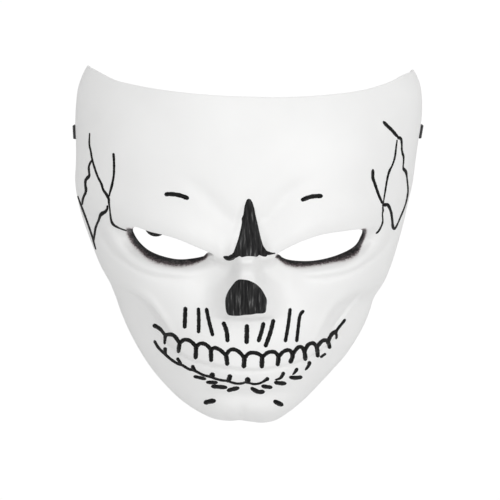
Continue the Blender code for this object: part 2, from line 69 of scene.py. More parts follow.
def through_photo(pixels, height):
    """Where the line of sight through each pixel of the photograph crosses a height above the rim.

    The sight line leaves the camera along its axis plus the pixel's share of the field, and the
    height fixes how far along it the crossing lies."""
    across = (pixels[:, 0] - PHOTO_SIZE / 2) * PHOTO_FIELD / PHOTO_SIZE / CAMERA_DISTANCE
    up = (PHOTO_SIZE / 2 - pixels[:, 1]) * PHOTO_FIELD / PHOTO_SIZE / CAMERA_DISTANCE
    drop = height - CAMERA_TARGET[2]
    cosine, sine = math.cos(CAMERA_TILT), math.sin(CAMERA_TILT)
    along = (up * (CAMERA_DISTANCE - drop * cosine) + drop * sine) / (cosine + up * sine)
    depth = CAMERA_DISTANCE - along * sine - drop * cosine
    return np.stack([CAMERA_TARGET[0] + across * depth, CAMERA_TARGET[1] + along, height], axis=1)


lens = bpy.data.cameras.new("camera")
lens.sensor_width = SENSOR_WIDTH
lens.lens = SENSOR_WIDTH * CAMERA_DISTANCE / PHOTO_FIELD
camera = bpy.data.objects.new("camera", lens)
bpy.context.scene.collection.objects.link(camera)
sight = Vector((0.0, math.sin(CAMERA_TILT), math.cos(CAMERA_TILT)))
head_up = Vector((0.0, math.cos(CAMERA_TILT), -math.sin(CAMERA_TILT)))
camera.matrix_world = Matrix((Vector((1.0, 0.0, 0.0)), head_up, sight)).transposed().to_4x4()
camera.location = Vector(placed(np.array(CAMERA_TARGET))) + sight * CAMERA_DISTANCE * MM
bpy.context.scene.camera = camera


# The shell
# One wall of white plastic, 2 mm thick, moulded over a form and trimmed along the forehead, the
# eyes and a slot in each temple. Its edges are rounded by hand.

WALL = 2.0
EDGE_ROUND = 0.55

# The middle of the face, from which every meridian runs to the rim, and the meridians' own form: a
# short flange at the rim, how square the front is, how square the sides are, and the radius and depth
# that its length is reckoned at.
CENTRE_HEIGHT = 4.0
FLANGE_SHARE = 0.07
FRONT_POWER = 4.0
SIDE_POWER = 2.1
TYPICAL_RADIUS = 84.0
TYPICAL_DEPTH = 60.0

# The widest line of the shell, seen from the front, from the middle of the chin up each side. Above
# the forehead's cut, the last rows only close the dome that the forehead is a part of.
OUTLINE_RIGHT = (
    (2.0, -97.6), (8.0, -98.2), (14.5, -97.0), (19.8, -94.0), (25.4, -90.0), (31.8, -84.7),
    (38.6, -78.2), (45.2, -71.7), (51.3, -65.3), (56.8, -57.3), (61.0, -49.6), (64.0, -41.8),
    (65.9, -35.4), (68.8, -30.5), (71.7, -25.3), (75.1, -16.4), (78.2, -5.8), (81.1, 6.0),
    (83.2, 16.0), (85.3, 26.0), (86.5, 36.0), (87.8, 46.0), (89.3, 56.0), (89.8, 66.0),
    (88.9, 75.2), (85.2, 83.4), (76.0, 97.0), (57.0, 111.0), (32.0, 120.0), (8.0, 123.0),
)
OUTLINE_LEFT = (
    (-4.0, -96.9), (-10.0, -97.2), (-18.4, -95.8), (-27.8, -91.2), (-35.8, -85.8), (-43.0, -79.3),
    (-49.0, -72.9), (-54.1, -66.2), (-59.0, -58.0), (-62.8, -50.2), (-66.0, -42.2), (-67.9, -36.2),
    (-69.5, -31.7), (-71.6, -26.2), (-76.2, -17.4), (-80.4, -6.4), (-84.5, 5.6), (-87.1, 15.8),
    (-88.5, 26.0), (-88.0, 36.0), (-87.9, 46.0), (-88.2, 56.0), (-87.7, 66.0), (-86.4, 75.2),
    (-81.9, 85.2), (-73.0, 97.0), (-54.0, 111.0), (-30.0, 120.0), (-8.0, 123.0),
)

# The rim's own height above the table, against the height on the face. It rests along the jaw and
# at the two top corners, arches over the strap, and lifts under the chin.
RIM = (
    (-97.0, 15.0), (-88.0, 11.5), (-76.0, 5.0), (-62.0, 0.0), (-34.0, 0.0), (-12.0, 1.6),
    (20.0, 3.4), (50.0, 3.6), (66.0, 2.5), (76.0, 0.0), (125.0, 0.0),
)

# The face's profile without its features: height, how far forward, how fast it falls sideways.
PROFILE = (
    (-100.0, 49.0, 0.0095), (-88.0, 58.5, 0.0090), (-74.0, 61.5, 0.0080), (-56.0, 63.0, 0.0066),
    (-38.0, 63.0, 0.0052), (-20.0, 63.5, 0.0042), (0.0, 65.5, 0.0036), (20.0, 68.5, 0.0034),
    (42.0, 68.0, 0.0034), (74.0, 62.5, 0.0034), (125.0, 44.0, 0.0030),
)

# The brow's lower edge: distance from the middle, its height on the left and on the right.
BROW_EDGE = (
    (0.0, -5.6, -5.6), (12.0, -5.4, -5.0), (16.0, -4.3, -3.2), (20.5, -2.1, -0.6),
    (25.0, -0.2, 1.8), (30.0, 1.9, 3.7), (36.0, 3.9, 5.3), (43.0, 5.6, 6.3), (50.0, 6.8, 6.8),
    (57.0, 7.4, 6.9), (64.0, 8.4, 7.9), (72.0, 11.0, 10.5), (90.0, 18.0, 18.0),
)
# How far the brow swells out above that edge: distance from the middle, height.
BROW_SWELL = (
    (0.0, 2.2), (7.0, 3.2), (14.0, 5.2), (26.0, 5.2), (42.0, 4.4), (58.0, 3.6), (74.0, 1.2),
    (90.0, 0.0),
)

# How far below the brow's edge its underside runs before it meets the socket.
SHELF_RUN = (
    (0.0, 8.0), (10.0, 7.0), (18.0, 4.0), (54.0, 4.0), (64.0, 9.0), (76.0, 14.0), (90.0, 16.0),
)

# The crease that rings the eye socket from below: distance from the middle, height.
SOCKET_CREASE = (
    (0.0, -17.4), (20.0, -16.2), (28.0, -17.0), (37.0, -17.2), (47.0, -16.4), (54.7, -14.4),
    (60.0, -12.0), (64.5, -9.4), (68.5, -6.6), (72.0, -2.9), (75.5, 1.5), (79.0, 8.0), (90.0, 30.0),
)

# The cheekbone's lower edge: distance from the middle, its height on the left and on the right.
CHEEK_EDGE = (
    (0.0, -64.0, -64.0), (32.0, -57.0, -56.0), (36.0, -49.5, -46.0), (39.0, -44.8, -40.0),
    (41.4, -41.0, -36.4), (44.2, -37.5, -32.8), (47.7, -33.3, -30.4), (51.3, -30.6, -28.8),
    (55.1, -28.1, -28.1), (61.3, -26.1, -27.6), (67.6, -24.9, -26.2), (90.0, -24.0, -25.0),
)

# A fold in the hollow of the cheek, from the mouth's corner up to the cheekbone: distance, height on
# the left and on the right.
CHEEK_FOLD = (
    (30.0, -62.0, -63.0), (43.5, -45.0, -45.0), (46.2, -41.4, -41.6), (49.3, -37.8, -37.9),
    (51.3, -35.6, -35.2), (53.9, -33.0, -32.1), (56.0, -31.2, -29.4), (58.2, -29.4, -26.9),
    (66.0, -24.0, -18.0),
)

# The line between the upper and the lower teeth: place across the face, height.
MOUTH_LINE = (
    (-60.0, -39.0), (-41.0, -52.2), (-33.0, -56.8), (-26.0, -59.4), (-17.0, -60.9), (-9.0, -62.0),
    (0.0, -63.0), (8.0, -62.8), (16.0, -61.9), (25.0, -60.8), (33.0, -58.4), (41.0, -54.8),
    (46.6, -50.7), (60.0, -38.6),
)

# The nose: height, how far it stands out, half its width.
NOSE = (
    (-41.0, 0.0, 11.0), (-37.0, 2.5, 13.0), (-34.0, 10.5, 13.0), (-30.0, 15.5, 12.2),
    (-26.0, 16.2, 11.2), (-20.0, 13.2, 9.2), (-13.0, 9.8, 6.4), (-7.0, 7.8, 5.4), (0.0, 3.6, 5.4),
    (8.0, 0.0, 7.0),
)

# The eye openings, seen from the front. Each starts at the inner corner, runs out along the brow
# and comes back along the lower lid.
LEFT_EYE = (
    (-16.3, -4.2), (-20.6, -2.0), (-25.5, 0.0), (-32.9, 3.0), (-40.4, 5.0), (-47.9, 6.3),
    (-54.0, 8.0), (-56.6, 8.0), (-57.2, 6.0), (-56.6, 2.4), (-54.2, -1.0), (-49.6, -4.4),
    (-43.0, -6.8), (-34.3, -8.1), (-25.8, -7.2), (-20.6, -5.8),
)
RIGHT_EYE = (
    (14.1, -4.2), (18.7, -1.3), (23.6, 1.2), (28.5, 3.2), (36.0, 5.4), (43.4, 6.3), (51.0, 6.7),
    (56.6, 6.6), (57.9, 5.0), (57.1, 1.0), (54.9, -2.2), (50.4, -4.8), (43.8, -7.0), (36.3, -8.4),
    (28.8, -8.7), (21.3, -7.9), (16.8, -6.2),
)

# The forehead's cut, seen from the front, between the two top corners: left to right.
FOREHEAD_CUT = (
    (-81.8, 85.2), (-78.2, 84.4), (-71.6, 81.8), (-65.7, 79.6), (-57.7, 78.2), (-47.6, 76.7),
    (-32.7, 75.1), (-18.0, 74.0), (0.0, 73.3), (21.0, 73.0), (40.6, 73.8), (55.5, 75.1),
    (65.8, 77.0), (73.8, 79.2), (79.5, 81.6), (84.9, 82.8),
)
CORNER_ROUND = 3.0
LID_ROUND = 1.2

# How far apart the points of the finished edges lie: along the rim and the cut, and around each hole.
RIM_STEP = 0.12
HOLE_STEP = 0.08

# How many points of an edge line are enough to tell which side of it a point of the net lies on.
EDGE_POINTS = 1200

# The strap's slots: length, width, where they lie seen from the front, and their height over the rim.
SLOT_LENGTH = 9.0
SLOT_WIDTH = 2.6
SLOT_PLACE = (87.5, 51.0)
SLOT_ABOVE_RIM = 5.6

# The net that the shell is laid out on: from, to, and the gap between its lines. It is closest over
# the face's features and at the slots.
COLUMNS = (
    (-160, -136, 1.6), (-136, -112, 0.9), (-112, -64, 1.6), (-64, 64, 0.85), (64, 112, 1.6),
    (112, 136, 0.9), (136, 160, 1.6),
)
ROWS = ((-170, -112, 1.4), (-112, 16, 0.85), (16, 52, 1.3), (52, 80, 0.95), (80, 170, 1.7))


def table(x, rows, column=1):
    """A smooth curve through a table's rows that never overshoots them (monotone cubic pieces)."""
    knots = np.array([row[0] for row in rows])
    values = np.array([row[column] for row in rows])
    widths = np.diff(knots)
    slopes = np.diff(values) / widths
    tangents = np.zeros(len(knots))
    same_way = slopes[:-1] * slopes[1:] > 0
    total = np.where(same_way, slopes[:-1] + slopes[1:], 1.0)
    tangents[1:-1] = np.where(same_way, 2 * slopes[:-1] * slopes[1:] / total, 0.0)
    tangents[0], tangents[-1] = slopes[0], slopes[-1]
    x = np.clip(x, knots[0], knots[-1])
    i = np.clip(np.searchsorted(knots, x) - 1, 0, len(widths) - 1)
    t = (x - knots[i]) / widths[i]
    start = values[i] * (1 + 2 * t) * (1 - t) ** 2 + tangents[i] * widths[i] * t * (1 - t) ** 2
    end = values[i + 1] * t**2 * (3 - 2 * t) + tangents[i + 1] * widths[i] * t**2 * (t - 1)
    return start + end


def by_side(x, rows):
    """A table of distances from the middle: its second column on the left, its third on the right."""
    return np.where(x < 0, table(np.abs(x), rows, 1), table(np.abs(x), rows, 2))


def step(x):
    """0 below 0, 1 above 1, and smooth between."""
    x = np.clip(x, 0.0, 1.0)
    return x * x * (3 - 2 * x)


def bell(x, power=2):
    """1 at 0, and falling smoothly to nothing on both sides; a higher power gives a flatter top."""
    return np.exp(-(np.abs(x) ** power))


def smooth_line(points, closed, per_piece=12):
    """A Catmull-Rom curve through the points: each piece is a cubic fixed by its four neighbours."""
    points = np.array(points, float)
    if closed:
        padded = np.vstack([points[-1:], points, points[:2]])
    else:
        padded = np.vstack([2 * points[0] - points[1], points, 2 * points[-1] - points[-2]])
    t = np.linspace(0, 1, per_piece, endpoint=False)[None, :, None]
    a, b, c, d = (padded[k : len(padded) - 3 + k, None, :] for k in range(4))
    curl, twist = 2 * a - 5 * b + 4 * c - d, 3 * b - a - 3 * c + d
    line = (0.5 * (2 * b + (c - a) * t + curl * t**2 + twist * t**3)).reshape(-1, points.shape[1])
    return line if closed else np.vstack([line, points[-1:]])


def run_of(points):
    """The length run along a line up to each of its points: the running sum of its steps."""
    return np.concatenate([[0.0], np.cumsum(np.linalg.norm(np.diff(points, axis=0), axis=1))])


def at_run(wanted, run, values):
    """A line's points, or other values given at them, at the wanted lengths along it."""
    return np.stack([np.interp(wanted, run, values[:, k]) for k in range(values.shape[1])], axis=1)


def respaced(points, gap, closed):
    """The same line with its points an even distance apart."""
    if closed:
        points = np.vstack([points, points[:1]])
    run = run_of(points)
    count = max(6, int(round(run[-1] / gap)))
    return at_run(np.linspace(0, run[-1], count, endpoint=not closed), run, points)


def unit(vectors):
    """The same directions, each with a length of one."""
    return vectors / np.maximum(np.linalg.norm(vectors, axis=1), 1e-12)[:, None]


outline = smooth_line(OUTLINE_RIGHT + OUTLINE_LEFT[::-1], True, 24)
outline_angle = np.arctan2(outline[:, 1] - CENTRE_HEIGHT, outline[:, 0])
outline_order = np.argsort(outline_angle)
outline_angle = outline_angle[outline_order]
outline_reach = np.hypot(outline[:, 0], outline[:, 1] - CENTRE_HEIGHT)[outline_order]


def outline_radius(angle):
    """The outline's distance from the middle of the face, by direction."""
    return np.interp(angle, outline_angle, outline_reach, period=2 * math.pi)


# One meridian from the middle of the face to the rim, as shares of its length, of the outline's
# radius and of the depth: a superellipse that ends in a short straight flange.
turn = np.linspace(0, math.pi / 2, 1500)
REACH = np.append(np.sin(turn) ** (2 / FRONT_POWER), 1.0)
FALL = np.append(FLANGE_SHARE + (1 - FLANGE_SHARE) * np.cos(turn) ** (2 / SIDE_POWER), 0.0)
RUN = np.cumsum(np.hypot(np.diff(REACH) * TYPICAL_RADIUS, np.diff(FALL) * TYPICAL_DEPTH))
RUN = np.concatenate([[0.0], RUN])
STRETCH = RUN[-1] / TYPICAL_RADIUS
RUN = RUN / RUN[-1]


# How deep each hollow of the face is and how far each swelling stands out. Where there are two
# numbers, they are for the left and the right.
FROWN_DEPTH = 1.2
WEDGE_DEPTH = 1.6
SOCKET_DEPTH = 9.5
INNER_SOCKET_DEPTH = 5.0
CREASE_DEPTH = 1.7
ROLL_HEIGHT = 2.3
CHEEKBONE_HEIGHT = 5.0
CHEEK_EDGE_DEPTH = (5.2, 3.0)
CHEEK_HOLLOW_DEPTH = 5.5
CHEEK_LIP_HEIGHT = (1.8, 0.9)
CHEEK_FOLD_DEPTH = (1.3, 2.3)
NOSE_SIDE_DEPTH = 4.2
TEETH_HEIGHT = 6.0
MOUTH_DEPTH = 3.0
LOWER_ROW_DEPTH = 1.8
CHIN_FOLD_DEPTH = 2.4
CHIN_HEIGHT = 3.6
CLEFT_DEPTH = 1.5


def front(x, y):
    """How far forward the face stands at (x, y), before its edges fall back to the rim.

    The profile bends back sideways as the square of the distance from the middle. Every feature is
    its depth or height times bells and steps that fix where it is and how softly it ends."""
    side = np.abs(x)
    z = table(y, PROFILE) - table(y, PROFILE, 2) * side**2
    above = y - by_side(x, BROW_EDGE)

    # The brow swells above its lower edge and frowns over the nose.
    z += table(side, BROW_SWELL) * bell((above - 3.5) / 10.5) * step((above + 4.0) / 4.0)
    frown = side - (8.5 + 0.95 * (y - 13.0))
    z -= FROWN_DEPTH * bell(frown * 0.72 / 4.4) * step((y - 8.0) / 7.0) * step((38.0 - y) / 12.0)
    wedge = 1.5 + np.clip(24.0 - y, 0.0, 30.0) * 0.30
    z -= WEDGE_DEPTH * bell(x / wedge, 4) * step((25.0 - y) / 8.0) * step((above + 1.0) / 2.0)

    # The eye sockets sink back under the brow, over a soft roll with a crease below it.
    pit = np.sqrt(((side - 37.0) / 32.0) ** 2 + ((y - 2.0) / 17.5) ** 2)
    under = step((-0.9 - above) / table(side, SHELF_RUN))
    z -= SOCKET_DEPTH * under * (1 - step((pit - 0.45) / 0.6))
    z -= INNER_SOCKET_DEPTH * under * bell(x / 17.0, 4) * bell((y + 9.0) / 7.5)
    ring = (y - table(side, SOCKET_CREASE)) * (0.55 + 0.45 * step((70.0 - side) / 14.0))
    shown = step((side - 24.0) / 16.0) * step((78.0 - side) / 8.0)
    z -= CREASE_DEPTH * bell(ring / 1.5) * shown
    z += ROLL_HEIGHT * bell((ring - 5.0) / 3.2) * shown

    # The cheekbones stand out, and the cheeks are hollow beneath them.
    z += CHEEKBONE_HEIGHT * bell((side - 58.0) / 20.0) * bell((y + 22.0) / 12.0)
    below = by_side(x, CHEEK_EDGE) - y
    hollow = bell((side - 57.0) / 18.0, 3) * bell((y + 42.0) / 24.0, 3)
    edge_left = CHEEK_EDGE_DEPTH[0] * step((below + 0.6) / 2.6)
    edge_right = CHEEK_EDGE_DEPTH[1] * step((below + 2.0) / 6.0)
    z -= np.where(x < 0, edge_left, edge_right) * hollow
    z -= CHEEK_HOLLOW_DEPTH * step((below + 2.0) / 12.0) * hollow
    z += np.where(x < 0, *CHEEK_LIP_HEIGHT) * bell((below + 3.2) / 3.4) * hollow
    fold = np.where(x < 0, *CHEEK_FOLD_DEPTH) * bell((y - by_side(x, CHEEK_FOLD)) / 2.1)
    z -= fold * step((side - 40.0) / 5.0) * step((60.0 - side) / 5.0)
    z -= NOSE_SIDE_DEPTH * bell((side - 20.0) / 8.5) * bell((y + 18.0) / 13.0)

    # The nose.
    z += table(y, NOSE) * bell(x / table(y, NOSE, 2), 2.3 + 1.5 * step((y + 22.0) / 8.0))

    # The teeth bulge forward, the mouth is a groove, and the lower row stands a little back.
    z += TEETH_HEIGHT * bell(x / 43.0, 4) * bell((y + 57.0) / 19.0, 4)
    mouth = table(x, MOUTH_LINE)
    z -= MOUTH_DEPTH * bell((y - mouth) / 1.05) * step((50.0 - side) / 10.0)
    z -= LOWER_ROW_DEPTH * step((mouth - y + 0.6) / 2.2) * step((y + 82.0) / 12.0) * bell(x / 46.0, 4)

    # The chin: a fold under the lower row, a boss, and a cleft.
    z -= CHIN_FOLD_DEPTH * bell((y + 78.0) / 4.6) * bell(x / 26.0, 4)
    z += CHIN_HEIGHT * bell((y + 88.0) / 7.5) * bell(x / 22.0, 4)
    z -= CLEFT_DEPTH * bell((x + 3.2) / 2.2) * step((-80.0 - y) / 8.0)
    return z


def to_pattern(x, y):
    """The point of the flat pattern that lies at (x, y) seen from the front.

    Its share of the outline's radius gives its share of the meridian's length, by the table of the
    one meridian read backwards."""
    angle = np.arctan2(y - CENTRE_HEIGHT, x)
    radius = outline_radius(angle)
    share = np.clip(np.hypot(x, y - CENTRE_HEIGHT) / radius, 0.0, 1.0)
    length = np.interp(share, REACH[:-1], RUN[:-1]) * radius * STRETCH
    return np.stack([length * np.cos(angle), length * np.sin(angle)], axis=1)


def shell_points(pattern):
    """The shell's outer surface over points of the flat pattern.

    The pattern unrolls every meridian to its length. A point's share of its meridian gives its share
    of the outline's radius, and of the fall from the front of the face back to the rim."""
    angle = np.arctan2(pattern[:, 1], pattern[:, 0])
    radius = outline_radius(angle)
    run = np.clip(np.hypot(pattern[:, 0], pattern[:, 1]) / (radius * STRETCH), 0.0, 1.0)
    share = np.interp(run, RUN, REACH) * radius
    x = share * np.cos(angle)
    y = share * np.sin(angle) + CENTRE_HEIGHT
    rim = table(y, RIM)
    z = rim + (front(x, y) - rim) * np.interp(run, RUN, FALL)
    return np.stack([x, y, z], axis=1)


def shell_normals(pattern, reach=0.08):
    """The outward direction of the surface: the cross product of its two slopes on the pattern."""
    a, b = np.array([reach, 0.0]), np.array([0.0, reach])
    inward = pattern * (1 - 1.5 * reach / np.maximum(np.linalg.norm(pattern, axis=1), 1.0))[:, None]
    one = shell_points(inward + a) - shell_points(inward - a)
    other = shell_points(inward + b) - shell_points(inward - b)
    return unit(np.cross(one, other))


def rim_point(angle, above):
    """The pattern's point that lies a true height above the rim on each meridian.

    Heights are taken at even steps in from the rim, and the place is read off between the two steps
    that the wanted height lies between."""
    near = np.linspace(0.0, 24.0, 97)
    way = np.stack([np.cos(angle), np.sin(angle)], axis=1)
    length = outline_radius(angle) * STRETCH
    rows = way[:, None, :] * (length[:, None] - near)[:, :, None]
    height = shell_points(rows.reshape(-1, 2))[:, 2].reshape(len(angle), -1)
    height = height - height[:, :1]
    step_on = np.argmax(height >= above[:, None], axis=1)
    i = np.arange(len(angle))
    low, high = height[i, step_on - 1], height[i, step_on]
    back = near[step_on - 1] + (above - low) / np.maximum(high - low, 1e-9) * near[1]
    return way * (length - back)[:, None]


def slot_angle(side):
    """The slot's direction from the middle of the face, and the rim's length per radian there."""
    angle = math.atan2(SLOT_PLACE[1] - CENTRE_HEIGHT, SLOT_PLACE[0] * side)
    ends = np.array([angle - 0.01, angle + 0.01])
    ends = outline_radius(ends)[:, None] * np.stack([np.cos(ends), np.sin(ends)], axis=1)
    return angle, np.linalg.norm(ends[1] - ends[0]) / 0.02


def eased(loop, size, passes):
    """A closed loop with its sharp corners eased, by averaging each point with its neighbours."""
    loop = respaced(loop, size / 3, True)
    for _ in range(passes):
        loop = 0.5 * loop + 0.25 * (np.roll(loop, 1, axis=0) + np.roll(loop, -1, axis=0))
    return loop


def drawn_back(loop, outer):
    """An edge of the pattern moved into the plastic by the round of the finished edge.

    The move is across the loop, divided by how much the shell stretches that way there."""
    along = np.roll(loop, -1, axis=0) - np.roll(loop, 1, axis=0)
    across = unit(np.stack([along[:, 1], -along[:, 0]], axis=1))
    turning = np.sum(loop[:, 0] * np.roll(loop[:, 1], -1) - loop[:, 1] * np.roll(loop[:, 0], -1))
    across *= -np.sign(turning) if outer else np.sign(turning)
    stretch = np.linalg.norm(shell_points(loop + 0.4 * across) - shell_points(loop), axis=1) / 0.4
    return loop + across * (EDGE_ROUND / np.maximum(stretch, 0.3))[:, None]


cut = smooth_line(FOREHEAD_CUT, False)
cut = to_pattern(cut[:, 0], cut[:, 1])
cut_ends = np.arctan2(cut[[-1, 0], 1], cut[[-1, 0], 0])
rim_angle = np.linspace(cut_ends[0], cut_ends[1] - 2 * math.pi, 600)
rim_way = np.stack([np.cos(rim_angle), np.sin(rim_angle)], axis=1)
rim_line = rim_way * (outline_radius(rim_angle) * STRETCH)[:, None]
outer_edge = eased(np.vstack([cut[1:-1], rim_line]), CORNER_ROUND, 12)

eye_edges = []
for corners in (LEFT_EYE, RIGHT_EYE):
    lid = smooth_line(corners, True)
    eye_edges.append(eased(to_pattern(lid[:, 0], lid[:, 1]), LID_ROUND, 6))

slot_edges = []
for side in (-1, 1):
    around = np.linspace(0, 2 * math.pi, 40, endpoint=False)
    radius = SLOT_WIDTH / 2
    along = np.cos(around) * radius + np.sign(np.cos(around)) * (SLOT_LENGTH / 2 - radius)
    middle, speed = slot_angle(side)
    slot_edges.append(rim_point(middle + along / speed, SLOT_ABOVE_RIM + np.sin(around) * radius))

edge_lines = [respaced(drawn_back(outer_edge, True), RIM_STEP, True)]
edge_lines += [respaced(drawn_back(line, False), HOLE_STEP, True) for line in eye_edges + slot_edges]


def within(points, line, block=2000):
    """Which points lie inside a closed line: those whose ray to the right crosses it an odd number
    of times."""
    line = line[:: max(1, len(line) // EDGE_POINTS)]
    ahead = np.roll(line, -1, axis=0)
    rise = np.where(ahead[:, 1] == line[:, 1], 1.0, ahead[:, 1] - line[:, 1])
    slope = (ahead[:, 0] - line[:, 0]) / rise
    found = np.zeros(len(points), bool)
    for start in range(0, len(points), block):
        x, y = points[start : start + block, :1], points[start : start + block, 1:]
        spans = (line[:, 1] > y) != (ahead[:, 1] > y)
        crossed = spans & (x < line[:, 0] + (y - line[:, 1]) * slope)
        found[start : start + block] = crossed.sum(axis=1) % 2 == 1
    return found


def in_plastic(points):
    """Which points lie inside the outer edge and outside both eyes and both slots."""
    inside = within(points, edge_lines[0])
    for line in edge_lines[1:]:
        inside &= ~within(points, line)
    return inside


def nearest(points, line, block=400):
    """The number of the line's point that is nearest to each point, and how far off it is."""
    best = np.zeros(len(points), int)
    gap = np.zeros(len(points))
    for start in range(0, len(points), block):
        square = ((points[start : start + block, None, :] - line[None]) ** 2).sum(axis=2)
        best[start : start + block] = square.argmin(axis=1)
        gap[start : start + block] = np.sqrt(square.min(axis=1))
    return best, gap


def lines_at(stops):
    """The places of the net's lines: even steps between each pair of stops."""
    places = [np.append(np.arange(start, end, gap), end) for start, end, gap in stops]
    return np.unique(np.concatenate(places).round(4))


net_x, net_y = lines_at(COLUMNS), lines_at(ROWS)
grid_x, grid_y = np.meshgrid(net_x, net_y)
net = np.stack([grid_x.ravel(), grid_y.ravel()], axis=1)
wide = len(net_x)
state = np.where(in_plastic(net), 1, -1)

# Every line of the net that crosses an edge has its nearer end moved onto the edge, so that no face
# crosses an edge any more.
ids = np.arange(len(net)).reshape(len(net_y), wide)
links_across = np.stack([ids[:, :-1].ravel(), ids[:, 1:].ravel()], axis=1)
links_up = np.stack([ids[:-1].ravel(), ids[1:].ravel()], axis=1)
links = np.vstack([links_across, links_up])
links = links[state[links[:, 0]] != state[links[:, 1]]]
near = np.unique(links)
all_edges = np.vstack(edge_lines)
on_edge, gap = nearest(net[near], all_edges)
gap_of = np.full(len(net), 1e9)
gap_of[near] = gap
moved = np.unique(np.where(gap_of[links[:, 0]] < gap_of[links[:, 1]], links[:, 0], links[:, 1]))
net[moved] = all_edges[on_edge[np.searchsorted(near, moved)]]
state[moved] = 0

# A face is kept where none of its corners is outside, and its middle decides where all four lie on an
# edge. One with a single corner outside is kept as a triangle.
corner = np.stack([ids[:-1, :-1], ids[:-1, 1:], ids[1:, 1:], ids[1:, :-1]], axis=2).reshape(-1, 4)
corner_state = state[corner]
outside_count = (corner_state < 0).sum(axis=1)
plastic_quads = corner[(outside_count == 0) & (corner_state.max(axis=1) > 0)]
unsure = corner[(outside_count == 0) & (corner_state.max(axis=1) == 0)]
plastic_quads = np.vstack([plastic_quads, unsure[in_plastic(net[unsure].mean(axis=1))]])
single = corner[outside_count == 1]
lost = np.argmax(state[single] < 0, axis=1)
three = np.take_along_axis(single, (lost[:, None] + np.array([1, 2, 3])) % 4, axis=1)
three = three[in_plastic(net[three].mean(axis=1))]

# Doubled points, where two ends were moved to the same place, become one.
used, packed = np.unique(np.concatenate([plastic_quads.ravel(), three.ravel()]), return_inverse=True)
flat = net[used]
_, kept, merged = np.unique(flat.round(3), axis=0, return_index=True, return_inverse=True)
flat = flat[kept]
packed = merged.ravel()[packed]
quads = packed[: plastic_quads.size].reshape(-1, 4)
triangles = packed[plastic_quads.size :].reshape(-1, 3)
triangles = triangles[(triangles != np.roll(triangles, 1, axis=1)).all(axis=1)]
broken = [quads[:, k] == quads[:, (k + 1) % 4] for k in range(4)]
for k in range(4):
    rows = quads[broken[k] & (sum(broken) == 1)]
    triangles = np.vstack([triangles, np.delete(rows, k, axis=1)])
quads = quads[sum(broken) == 0]

outer_skin = shell_points(flat)
outward = shell_normals(flat)
inner_skin = outer_skin - WALL * outward

# The finished edge is half a round, carried from the outer skin to the inner one.
sides = [quads[:, [k, (k + 1) % 4]] for k in range(4)]
sides += [triangles[:, [k, (k + 1) % 3]] for k in range(3)]
sides = np.vstack(sides)
key = np.sort(sides, axis=1)
key = key[:, 0] * len(flat) + key[:, 1]
_, first, count = np.unique(key, return_index=True, return_counts=True)
open_sides = sides[first[count == 1]]
edge_points, edge_ids = np.unique(open_sides, return_inverse=True)
edge_ids = edge_ids.reshape(-1, 2)
ahead = np.zeros((len(edge_points), 3))
leg = unit(outer_skin[open_sides[:, 1]] - outer_skin[open_sides[:, 0]])
np.add.at(ahead, edge_ids[:, 0], leg)
np.add.at(ahead, edge_ids[:, 1], leg)
edge_normal = outward[edge_points]
away = unit(np.cross(ahead, edge_normal))
round_turn = np.linspace(0, math.pi, 8)[1:-1]
middle = outer_skin[edge_points] - edge_normal * WALL / 2
arc = middle[None] + edge_normal[None] * np.cos(round_turn)[:, None, None] * WALL / 2
arc = arc + away[None] * (np.sin(round_turn) ** 0.7)[:, None, None] * EDGE_ROUND

total = len(flat)
shell_verts = np.vstack([outer_skin, inner_skin, arc.reshape(-1, 3)])
shell_verts[:, 2] = np.maximum(shell_verts[:, 2], FRAME_ORIGIN[2])
arc_ids = 2 * total + np.arange(arc.shape[0] * arc.shape[1]).reshape(arc.shape[0], -1)
ring_ids = np.vstack([edge_points[None], arc_ids, edge_points[None] + total])
near_end, far_end = edge_ids.T
strips = []
for one, other in zip(ring_ids, ring_ids[1:]):
    strips.append(np.stack([one[far_end], one[near_end], other[near_end], other[far_end]], axis=1))
strips = np.vstack(strips)


def mesh_piece(name, points, face_groups, finishes):
    """An object from numpy arrays: faces come in groups, each with its own finish."""
    mesh = bpy.data.meshes.new(name)
    loops = np.concatenate([group.ravel() for group, _ in face_groups])
    sizes = np.concatenate([np.full(len(group), group.shape[1]) for group, _ in face_groups])
    finish = np.concatenate([np.full(len(group), number) for group, number in face_groups])
    mesh.vertices.add(len(points))
    mesh.vertices.foreach_set("co", placed(points).ravel())
    mesh.loops.add(len(loops))
    mesh.loops.foreach_set("vertex_index", loops.astype(np.int32))
    mesh.polygons.add(len(sizes))
    starts = np.concatenate([[0], np.cumsum(sizes)[:-1]])
    mesh.polygons.foreach_set("loop_start", starts.astype(np.int32))
    mesh.polygons.foreach_set("material_index", finish.astype(np.int32))
    mesh.update(calc_edges=True)
    for material in finishes:
        mesh.materials.append(material)
    mesh.shade_smooth()
    made = bpy.data.objects.new(name, mesh)
    bpy.context.scene.collection.objects.link(made)
    return made


# The band of black spray round the eyes: distance from the middle, its width on the left and on the
# right. It is full for a quarter of its width, has faded out at one and a half times its width, and
# stops at the brow's lower edge.
SPRAY_BAND = (
    (14.0, 0.2, 0.6), (17.0, 0.4, 2.3), (21.0, 2.0, 3.5), (28.5, 4.3, 3.9), (36.0, 5.4, 3.8),
    (42.0, 5.4, 3.8), (46.0, 5.2, 4.3), (50.0, 4.3, 4.8), (55.0, 3.1, 4.4), (58.0, 3.0, 2.0),
    (66.0, 2.6, 1.4),
)
spray = np.zeros(len(shell_verts))
around_eyes = (np.abs(shell_verts[:, 1]) < 26.0) & (shell_verts[:, 2] > 18.0)
around_eyes[total : 2 * total] = False
eye_lines = np.vstack([shell_points(line) for line in eye_edges])
at = shell_verts[around_eyes]
distance = nearest(at, eye_lines)[1]
brow_above = at[:, 1] - by_side(at[:, 0], BROW_EDGE)
band = by_side(at[:, 0], SPRAY_BAND)
